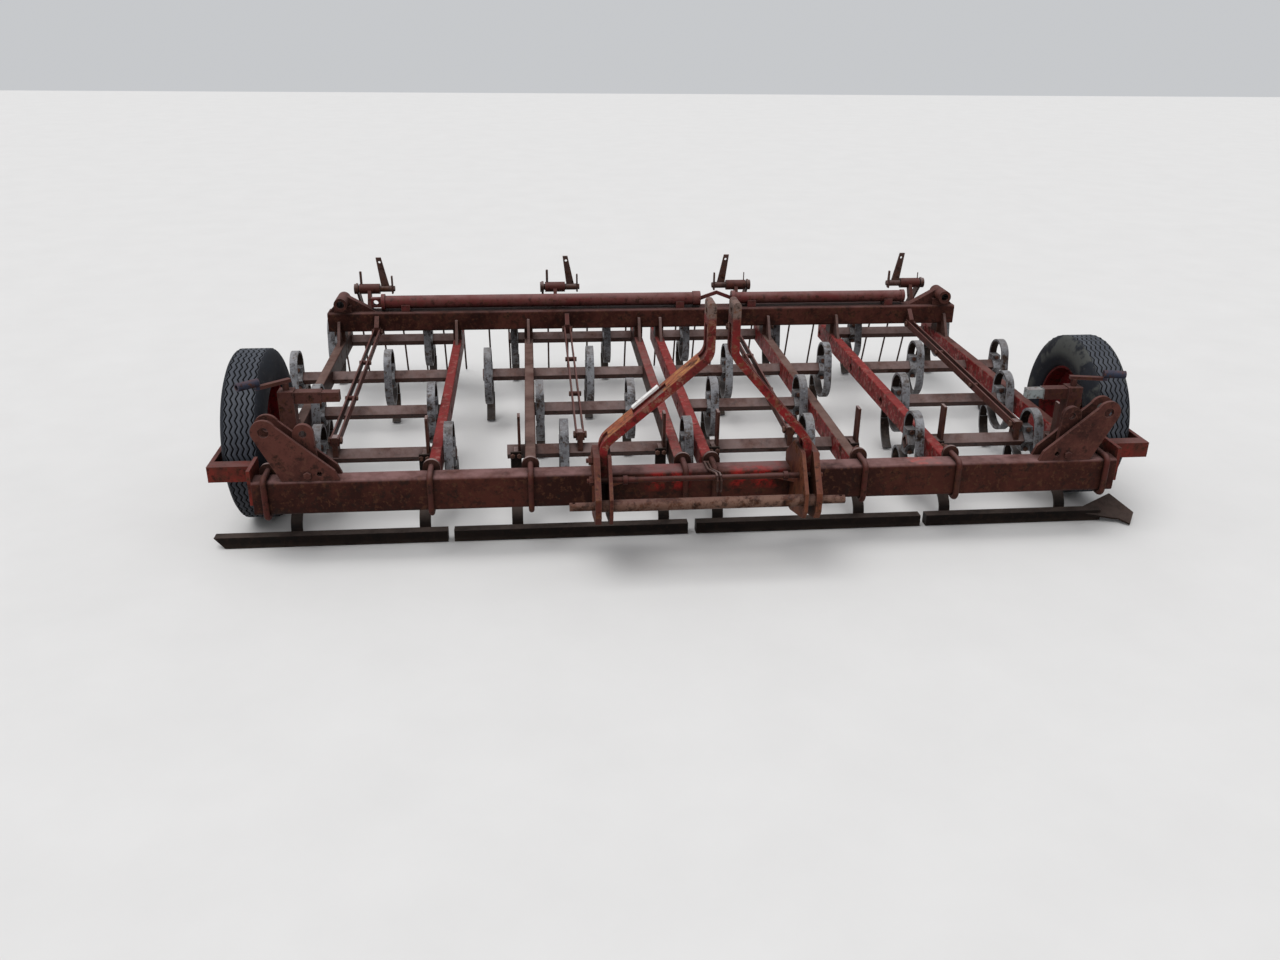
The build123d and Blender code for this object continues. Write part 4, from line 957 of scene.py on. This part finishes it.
def spin_tyre(name, x_mid):
    """A tyre round the axle with its middle at x_mid, its grooves moved sideways into zigzags."""
    bm = bmesh.new()
    section = [bm.verts.new((x_mid + x, WHEEL_Y, AXLE_Z + r)) for x, r in tyre_section()]
    loop = section + [section[0]]
    edges = [bm.edges.new((a, b)) for a, b in zip(loop, loop[1:])]
    centre = (x_mid, WHEEL_Y, AXLE_Z)
    bmesh.ops.spin(
        bm, geom=section + edges, cent=centre, axis=ACROSS, angle=math.tau, steps=STEPS, use_merge=True
    )
    bmesh.ops.remove_doubles(bm, verts=bm.verts, dist=1e-5)
    for vert in bm.verts:
        turn = math.atan2(vert.co.y - WHEEL_Y, vert.co.z - AXLE_Z)
        if abs(vert.co.x - x_mid) < TREAD_HALF:
            wave = 2 * abs((turn / math.tau * ZIGZAGS) % 1.0 - 0.5) - 0.5
            vert.co.x += 2 * ZIG * wave
    bmesh.ops.recalc_face_normals(bm, faces=bm.faces)
    tyre = as_object(name, bm, rubber)
    for face in tyre.data.polygons:
        face.use_smooth = True
    return tyre


for side, sign in SIDES.items():
    tyre = spin_tyre("tyre_tread_" + side, sign * WHEEL_X)
    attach(tyre, "wheel_" + side)
    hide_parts("tyre_" + side)
    print(tyre.name, len(tyre.data.polygons), "faces")

# %% [markdown]
# ## Bolts and nuts
#
# The whole machine is bolted: clamps, hangers, links, lugs and hitch plates. A hex head could be a ready-made
# model placed many times, but a six-sided bar with its rims bevelled is all that shows at this size. All
# heads of one kind are one mesh, because they share a finish and never move apart.

# %% Bars with bevelled rims
# Bevels as shares of a head's flats and of a rod's radius
HEX_BEVEL = 0.06
ROD_BEVEL = 0.12


def facing(axis):
    """The turn that takes Z to an axis."""
    return Vector((0, 0, 1)).rotation_difference(Vector(axis)).to_matrix().to_4x4()


def round_edges(bm, edges, offset, segments=1):
    bmesh.ops.bevel(
        bm, geom=edges, offset=offset, affect="EDGES", segments=segments, profile=0.5, material=-1
    )


def prism(bm, centre, axis, radius, length, sides, bevel):
    """A bar with a regular section, centred on a point along an axis, with both end rims bevelled."""
    made = bmesh.ops.create_cone(
        bm,
        cap_ends=True,
        cap_tris=False,
        segments=sides,
        radius1=radius,
        radius2=radius,
        depth=length,
        matrix=Matrix.Translation(Vector(centre)) @ facing(axis),
    )
    edges = {e for v in made["verts"] for e in v.link_edges}
    round_edges(bm, [e for e in edges if max(len(f.verts) for f in e.link_faces) == sides], bevel)


def hex_head(bm, centre, axis, flats, height):
    """A bolt's head or a nut, given by the distance between its flats."""
    prism(bm, centre, axis, flats / math.sqrt(3), height, 6, flats * HEX_BEVEL)


def short_rod(bm, centre, axis, radius, length, sides=10):
    prism(bm, centre, axis, radius, length, sides, radius * ROD_BEVEL)


print("bars:", hex_head.__name__, short_rod.__name__)

# %% [markdown]
# A piece also has to know what it rides on and which finish it carries. One function does that for every
# small part, so none is left out.


def small_parts(name, body, material, build):
    """One object made by a function that fills a bmesh, riding on a body of the frame."""
    bm = bmesh.new()
    build(bm)
    bmesh.ops.recalc_face_normals(bm, faces=bm.faces)
    obj = as_object(name, bm, finish[material])
    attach(obj, body)
    print(name, len(obj.data.polygons), "faces")
    return obj


# %% [markdown]
# ### Tine bolts
#
# Each tine sits on its bar in a clamp with a bolt above and a bolt below. The heads are in front, and behind
# the leaf are the nuts with the bolt's end standing out. Flats and heights are those of an M10 bolt.

# %% Tine bolts
FORWARD = (0, 1, 0)
CLAMP_FRONT = 0.008
LEAF_BACK = 0.046
TINE_BOLT_Z = 0.040
TINE_FLATS = 0.017
TINE_HEAD = 0.007
TINE_NUT = 0.008
BOLT_END = {"radius": 0.005, "length": 0.016, "sides": 8}


def tine_bolts(bm):
    for x, y in tine_places:
        for up in BOTH_SIDES:
            z = BAR_Z + up * TINE_BOLT_Z
            hex_head(bm, (x, y - CLAMP_FRONT - TINE_HEAD / 2, z), FORWARD, TINE_FLATS, TINE_HEAD)
            hex_head(bm, (x, y + LEAF_BACK + TINE_NUT / 2, z), FORWARD, TINE_FLATS, TINE_NUT)
            short_rod(bm, (x, y + LEAF_BACK + TINE_NUT, z), FORWARD, **BOLT_END)


small_parts("tine_bolts", "frame", "bare_steel", tine_bolts)

# %% [markdown]
# ### Clamp nuts
#
# Every rail ends in a plate behind the front beam. Rods round the beam pass through that plate above and
# below and are drawn tight by large nuts on its back.

# %% Clamp nuts
RAILS = (0.051, 0.579, 0.916, 1.458)
ROD_Z = (0.180, 0.320)
CLAMP_FLATS = 0.030
CLAMP_NUT = 0.016


def clamp_nuts(bm):
    for x in RAILS:
        for s in BOTH_SIDES:
            for z in ROD_Z:
                centre = (s * x, along(PLATE_BACK) + CLAMP_NUT / 2, z)
                hex_head(bm, centre, FORWARD, CLAMP_FLATS, CLAMP_NUT)


small_parts("clamp_nuts", "frame", "bare_steel", clamp_nuts)

# %% [markdown]
# ### Hanger bolts
#
# The levelling boards hang on straps. Each strap is bolted to its foot on the front cross bar and, low down,
# to the board. Both ends have two bolts side by side, so the strap can't turn.

# %% Hanger bolts
HANGERS = (0.100, 0.632, 0.962, 1.412)
FOOT_BOLTS = {"apart": 0.012, "y": 0.306, "z": 0.255, "size": (0.016, 0.008)}
BOARD_BOLTS = {"apart": 0.011, "y": 0.187, "z": 0.027, "size": (0.014, 0.008)}


def hanger_bolts(bm):
    for x in HANGERS:
        for s in BOTH_SIDES:
            for pair in (FOOT_BOLTS, BOARD_BOLTS):
                for side in BOTH_SIDES:
                    centre = (s * x + side * pair["apart"], along(pair["y"]), pair["z"])
                    hex_head(bm, centre, FORWARD, *pair["size"])


small_parts("hanger_bolts", "frame", "bare_steel", hanger_bolts)

# %% [markdown]
# ### Link bolts
#
# Pairs of flat bars run from the fourth row up to the upper beam. Large bolts pin both ends, and two smaller
# ones keep the bars apart on the way. Their places are shares of the link's length, so they stay on its line.

# %% Link bolts
LINKS = (0.395, 1.283)
LINK_LOW = (ROW_Y[4], 0.308)
LINK_HIGH = (1.642, 0.352)
LINK_BOLTS = ((0.0, 0.024), (0.33, 0.018), (0.66, 0.018), (1.0, 0.024))
LINK_SIDE = 0.0205
LINK_HEAD = 0.009


def link_bolts(bm):
    for x in LINKS:
        for s in BOTH_SIDES:
            for share, flats in LINK_BOLTS:
                y = LINK_LOW[0] + share * (LINK_HIGH[0] - LINK_LOW[0])
                z = LINK_LOW[1] + share * (LINK_HIGH[1] - LINK_LOW[1])
                for out in BOTH_SIDES:
                    hex_head(bm, (s * x + out * LINK_SIDE, along(y), z), ACROSS, flats, LINK_HEAD)


small_parts("link_bolts", "frame", "bare_steel", link_bolts)

# %% [markdown]
# ### Bolts of the lugs and the hitch
#
# A fold lug is two plates, and a bolt with a head or nut on both faces of each plate shows near its foot. The
# hitch plates are pinned by the stay rod and by one bolt through the mast leg. The ends of both stand out
# beyond their nuts.

# %% Bolts of the lugs and the hitch
LUG_X = 1.314
LUG_Z = 0.330
LUG_FACES = (0.002, 0.022, 0.058, 0.078)
LUG_HEAD = (0.024, 0.009)
PLATE_OUT = 0.373
HITCH_HOLES = ((-0.118, 0.336), (-0.062, 0.385))
HITCH_FLATS = 0.027
HITCH_NUT = 0.014
HITCH_END = {"radius": 0.008, "length": 0.010}
END_OUT = 0.017


def lug_bolts(bm):
    for s in BOTH_SIDES:
        for y in LUG_FACES:
            hex_head(bm, (s * LUG_X, along(y), LUG_Z), FORWARD, *LUG_HEAD)


def hitch_bolts(bm):
    for s in BOTH_SIDES:
        for y, z in HITCH_HOLES:
            nut = (s * (PLATE_OUT + HITCH_NUT / 2), along(y), z)
            hex_head(bm, nut, ACROSS, HITCH_FLATS, HITCH_NUT)
            short_rod(bm, (s * (PLATE_OUT + END_OUT), along(y), z), ACROSS, **HITCH_END)


small_parts("lug_bolts", "frame", "lug_paint", lug_bolts)
small_parts("hitch_bolts", "frame", "hitch_paint", hitch_bolts)

# %% [markdown]
# ## Wire hook
#
# A doubled wire lies on the front beam and hooks over the stay rod. A curve with a bevel could make it, but
# the wire has short straight runs with sharp bends, so a short rod for each run is closer to the real one.
# Each rod is one radius longer than its run, which closes the bends.

# %% Wire hook
WIRE_R = 0.004
WIRE_SIDES = 8
WIRES_APART = 0.006
HOOK_END = 0.020
HOOK_PATH = (
    (0.030, 0.066, 0.3145),
    (0.033, 0.002, 0.3145),
    (0.040, -0.112, 0.3495),
    (0.042, -0.1285, 0.3460),
    (0.044, -0.1320, 0.3300),
    (0.047, -0.1180, 0.2960),
    (0.049, -0.1020, 0.2780),
)


def wire_hook(bm):
    for side in BOTH_SIDES:
        points = [Vector((x + side * WIRES_APART, along(y), z)) for x, y, z in HOOK_PATH]
        for a, b in zip(points, points[1:]):
            length = (b - a).length + WIRE_R
            short_rod(bm, (a + b) / 2, (b - a).normalized(), WIRE_R, length, WIRE_SIDES)
    x, y, z = HOOK_PATH[0]
    short_rod(bm, (x, along(y), z), ACROSS, WIRE_R, HOOK_END, WIRE_SIDES)


small_parts("wire_hook", "frame", "rake_steel", wire_hook)

# %% [markdown]
# ## Rake levers: lock pins and sector plates
#
# Each rake has a lever on its tube. An upright pin stands on the fixed bush, and a sector plate sits on the
# lever's side and turns with it. The pins ride on the frame and the plates on their own rake, so a plate
# swings past its pin as it does on the machine.

# %% Lock pins
RAKE_X = {1: -1.330, 2: -0.445, 3: 0.445, 4: 1.330}
RAKE_Y = 1.850
RAKE_Z = 0.505
BUSH_R = 0.024
UPRIGHT = (0, 0, 1)
PIN_SEAT = 0.002
STOUT_R = 0.006
THIN_R = 0.0025
LOCK_PINS = {
    # how far outward on the bush, radius and height
    1: (0.038, STOUT_R, 0.062),
    2: (0.038, STOUT_R, 0.062),
    3: (0.040, THIN_R, 0.040),
    4: (0.040, THIN_R, 0.030),
}


def lock_pins(bm):
    """Upright pins at the outer ends of the fixed bushes, stout on the left side and thin on the right."""
    for number, (off, radius, height) in LOCK_PINS.items():
        x = RAKE_X[number] + math.copysign(off, RAKE_X[number])
        z = RAKE_Z + BUSH_R + height / 2 - PIN_SEAT
        short_rod(bm, (x, along(RAKE_Y), z), UPRIGHT, radius, height)


small_parts("lock_pins", "frame", "rake_steel", lock_pins)

# %% [markdown]
# A sector plate is a narrow wedge with soft edges: a cube whose upper corners are drawn in, then a bevel. The
# hex end of the tube stands out on its inner face.

# %% Sector plates
SECTOR_IN = 0.107
SECTOR_SIZE = (0.008, 0.026, 0.086)
SECTOR_UP = 0.019
SECTOR_TAPER = 0.6
SECTOR_BEVEL = 0.0025
SECTOR_HEAD = (0.024, 0.008)


def sector_plate(number):
    """A plate that narrows upwards, with the hex end of its tube."""

    def build(bm):
        inward = -math.copysign(1.0, RAKE_X[number])
        x = RAKE_X[number] + inward * SECTOR_IN
        y = along(RAKE_Y)
        made = bmesh.ops.create_cube(bm, size=1.0, matrix=Matrix.Diagonal((*SECTOR_SIZE, 1.0)))
        for vert in made["verts"]:
            if vert.co.z > 0:
                vert.co.y *= SECTOR_TAPER
            vert.co += Vector((x, y, RAKE_Z + SECTOR_UP))
        edges = {e for v in made["verts"] for e in v.link_edges}
        round_edges(bm, list(edges), SECTOR_BEVEL, 2)
        hex_head(bm, (x + inward * SECTOR_SIZE[0], y, RAKE_Z), ACROSS, *SECTOR_HEAD)

    return build


for number in RAKE_X:
    small_parts("sector_plate_%d" % number, "rake_body_%d" % number, "rake_steel", sector_plate(number))

# %% [markdown]
# ## Strips on the left mast leg
#
# The mast legs are bent channels. On the left one two flat covers close the open side near the bends, and a
# bare pale strip lies on the rear edge between them. Each is a flat box turned to the leg's slope. Its ends
# are shares of the slope from LEG_LOW to LEG_HIGH, so it can't leave the leg.

# %% Covers and the pale strip
LEG_LOW = Vector((-0.340, 0.0, 0.455))
LEG_HIGH = Vector((0.002, 0.0, 0.750))
COVERS = ((0.07, 0.31), (0.62, 0.93))
COVER_SHAPE = {"y": -0.072, "out_to": 0.0138, "deep": 0.0785, "thick": 0.008}
PALE = (0.320, 0.565)
PALE_SHAPE = {"y": -0.044, "out_to": 0.0205, "deep": 0.020, "thick": 0.009}
STRIP_BEVEL = 0.0008


def leg_strip(bm, start, stop, y, out_to, deep, thick):
    """A flat strip between two shares of the slope, its upper face out_to from the leg's middle."""
    run = LEG_HIGH - LEG_LOW
    out = Vector((-run.z, 0, run.x)).normalized()
    middle = LEG_LOW + run * (start + stop) / 2 + out * (out_to - thick / 2)
    middle.y = along(y)
    axes = Matrix((run.normalized(), Vector(FORWARD), out)).transposed().to_4x4()
    size = Matrix.Diagonal((run.length * (stop - start), deep, thick, 1.0))
    made = bmesh.ops.create_cube(bm, size=1.0, matrix=Matrix.Translation(middle) @ axes @ size)
    round_edges(bm, list({e for v in made["verts"] for e in v.link_edges}), STRIP_BEVEL)


def mast_covers(bm):
    for start, stop in COVERS:
        leg_strip(bm, start, stop, **COVER_SHAPE)


def pale_strip(bm):
    leg_strip(bm, *PALE, **PALE_SHAPE)


small_parts("mast_covers", "frame", "mast_cover", mast_covers)
small_parts("pale_strip", "frame", "pale_strip", pale_strip)

# %% [markdown]
# ## Wheel nuts
#
# Four nuts hold each rim on its hub. They ride on the wheel, so they go round with it, and they are on both
# faces of the disc, because the wheel is seen from outside and from inside.

# %% Wheel nuts
NUTS = 4
NUT_RING = 0.048
FIRST_NUT = 0.4
NUT_FACES = (0.010, 0.026)
WHEEL_NUT = (0.018, 0.009)


def wheel_nuts(sign):
    def build(bm):
        for i in range(NUTS):
            turn = math.tau * i / NUTS + FIRST_NUT
            y = WHEEL_Y + NUT_RING * math.cos(turn)
            z = AXLE_Z + NUT_RING * math.sin(turn)
            for face in NUT_FACES:
                hex_head(bm, (sign * (WHEEL_X + face), y, z), ACROSS, *WHEEL_NUT)

    return build


for side, sign in SIDES.items():
    small_parts("wheel_nuts_" + side, "wheel_" + side, "bare_steel", wheel_nuts(sign))

# %% [markdown]
# ## Floor
#
# The machine stands on a pale studio floor. Seen directly it is nearly white, but a floor that pale would
# throw too much light up at the machine's underside. So the camera and shiny surfaces see the pale tone, and
# all other light meets a darker one, through the Light Path node.

# %% Floor
FLOOR_SIZE = 40.0
FLOOR_CELLS = 8
FLOOR_ROUGH = 0.9
FLOOR_NOISE = (3.0, 5.0)
FLOOR_TONES = (rgb(0.62, 0.61, 0.60), rgb(0.68, 0.67, 0.66))
FLOOR_FOR_LIGHT = rgb(0.30, 0.28, 0.26)

paper, tree, shader = new_material("studio_floor")
shader.inputs["Roughness"].default_value = FLOOR_ROUGH
tone = blend(tree, noise(tree, object_places(tree), *FLOOR_NOISE), *FLOOR_TONES)
path = tree.nodes.new("ShaderNodeLightPath").outputs
seen = calc(tree, "MAXIMUM", path["Is Camera Ray"], path["Is Glossy Ray"])
feed(tree, blend(tree, seen, FLOOR_FOR_LIGHT, tone), shader.inputs["Base Color"])

bm = bmesh.new()
bmesh.ops.create_grid(bm, x_segments=FLOOR_CELLS, y_segments=FLOOR_CELLS, size=FLOOR_SIZE / 2)
floor = as_object("studio_floor", bm, paper)
floor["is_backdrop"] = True
print("floor", FLOOR_SIZE, "m wide")

# %% [markdown]
# ## Light
#
# The daylight is even, with no hard shadows. A soft pale sky fills in from all sides, and one very wide lamp
# from the upper left adds just enough direction to model the tubes. A narrow lamp would be simpler, but its
# shadows would cut across the rows of tines.

# %% Sky and lamp
SKY_TINT = rgb(0.95, 0.97, 1.0)
SKY_STRENGTH = 0.60
LAMP_STRENGTH = 2.1
LAMP_WIDTH = math.radians(50)
LAMP_FROM = Vector((-0.25, -0.22, 1.0))

world = bpy.data.worlds.new("studio_sky")
bpy.context.scene.world = world
world.use_nodes = True
sky = world.node_tree.nodes["Background"]
sky.inputs["Color"].default_value = SKY_TINT
sky.inputs["Strength"].default_value = SKY_STRENGTH

lamp = bpy.data.lights.new("soft_lamp", "SUN")
lamp.energy = LAMP_STRENGTH
lamp.angle = LAMP_WIDTH
sun = bpy.data.objects.new("soft_lamp", lamp)
bpy.context.scene.collection.objects.link(sun)
sun.rotation_euler = LAMP_FROM.to_track_quat("Z", "Y").to_euler()
print("sky", SKY_STRENGTH, "lamp", LAMP_STRENGTH)

# %% [markdown]
# ## Camera
#
# The camera's place and lens were solved from the straight edges of the two beams. It looks down and a
# little to the right, and it is rolled by less than one degree, so its three axes are built from angles
# instead of aiming it at a point.

# %% Camera
CAMERA_AT = Vector((-0.5573, -4.3243, 1.7765))
PITCH = math.radians(23.79)
YAW = math.radians(5.92)
ROLL = math.radians(0.76)
LENS_MM = 30.45
SENSOR_MM = 36.0
FAR_END = 100.0

ahead = Vector((math.sin(YAW) * math.cos(PITCH), math.cos(YAW) * math.cos(PITCH), -math.sin(PITCH)))
right = Vector((math.cos(YAW), -math.sin(YAW), 0.0))
up = right.cross(ahead)
side_axis = math.cos(ROLL) * right + math.sin(ROLL) * up
up_axis = math.cos(ROLL) * up - math.sin(ROLL) * right
turned = Matrix((side_axis, up_axis, -ahead)).transposed()

view = bpy.data.cameras.new("photo_camera")
view.lens = LENS_MM
view.sensor_width = SENSOR_MM
view.clip_end = FAR_END
camera = bpy.data.objects.new("photo_camera", view)
bpy.context.scene.collection.objects.link(camera)
camera.matrix_world = Matrix.Translation(CAMERA_AT) @ turned.to_4x4()
bpy.context.scene.camera = camera
bpy.context.scene.view_settings.view_transform = "Standard"
print("camera", LENS_MM, "mm lens at", tuple(CAMERA_AT))

# %% [markdown]
# ## Sizes and the end
#
# The dressed machine must be as large as the CAD frame, so both boxes are put side by side, and the box of
# the dressed machine is printed.

# %% Sizes and the end
boxes = [[list(corner) for corner in box] for box in (cad_box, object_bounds())]
print("visual box", boxes[1])
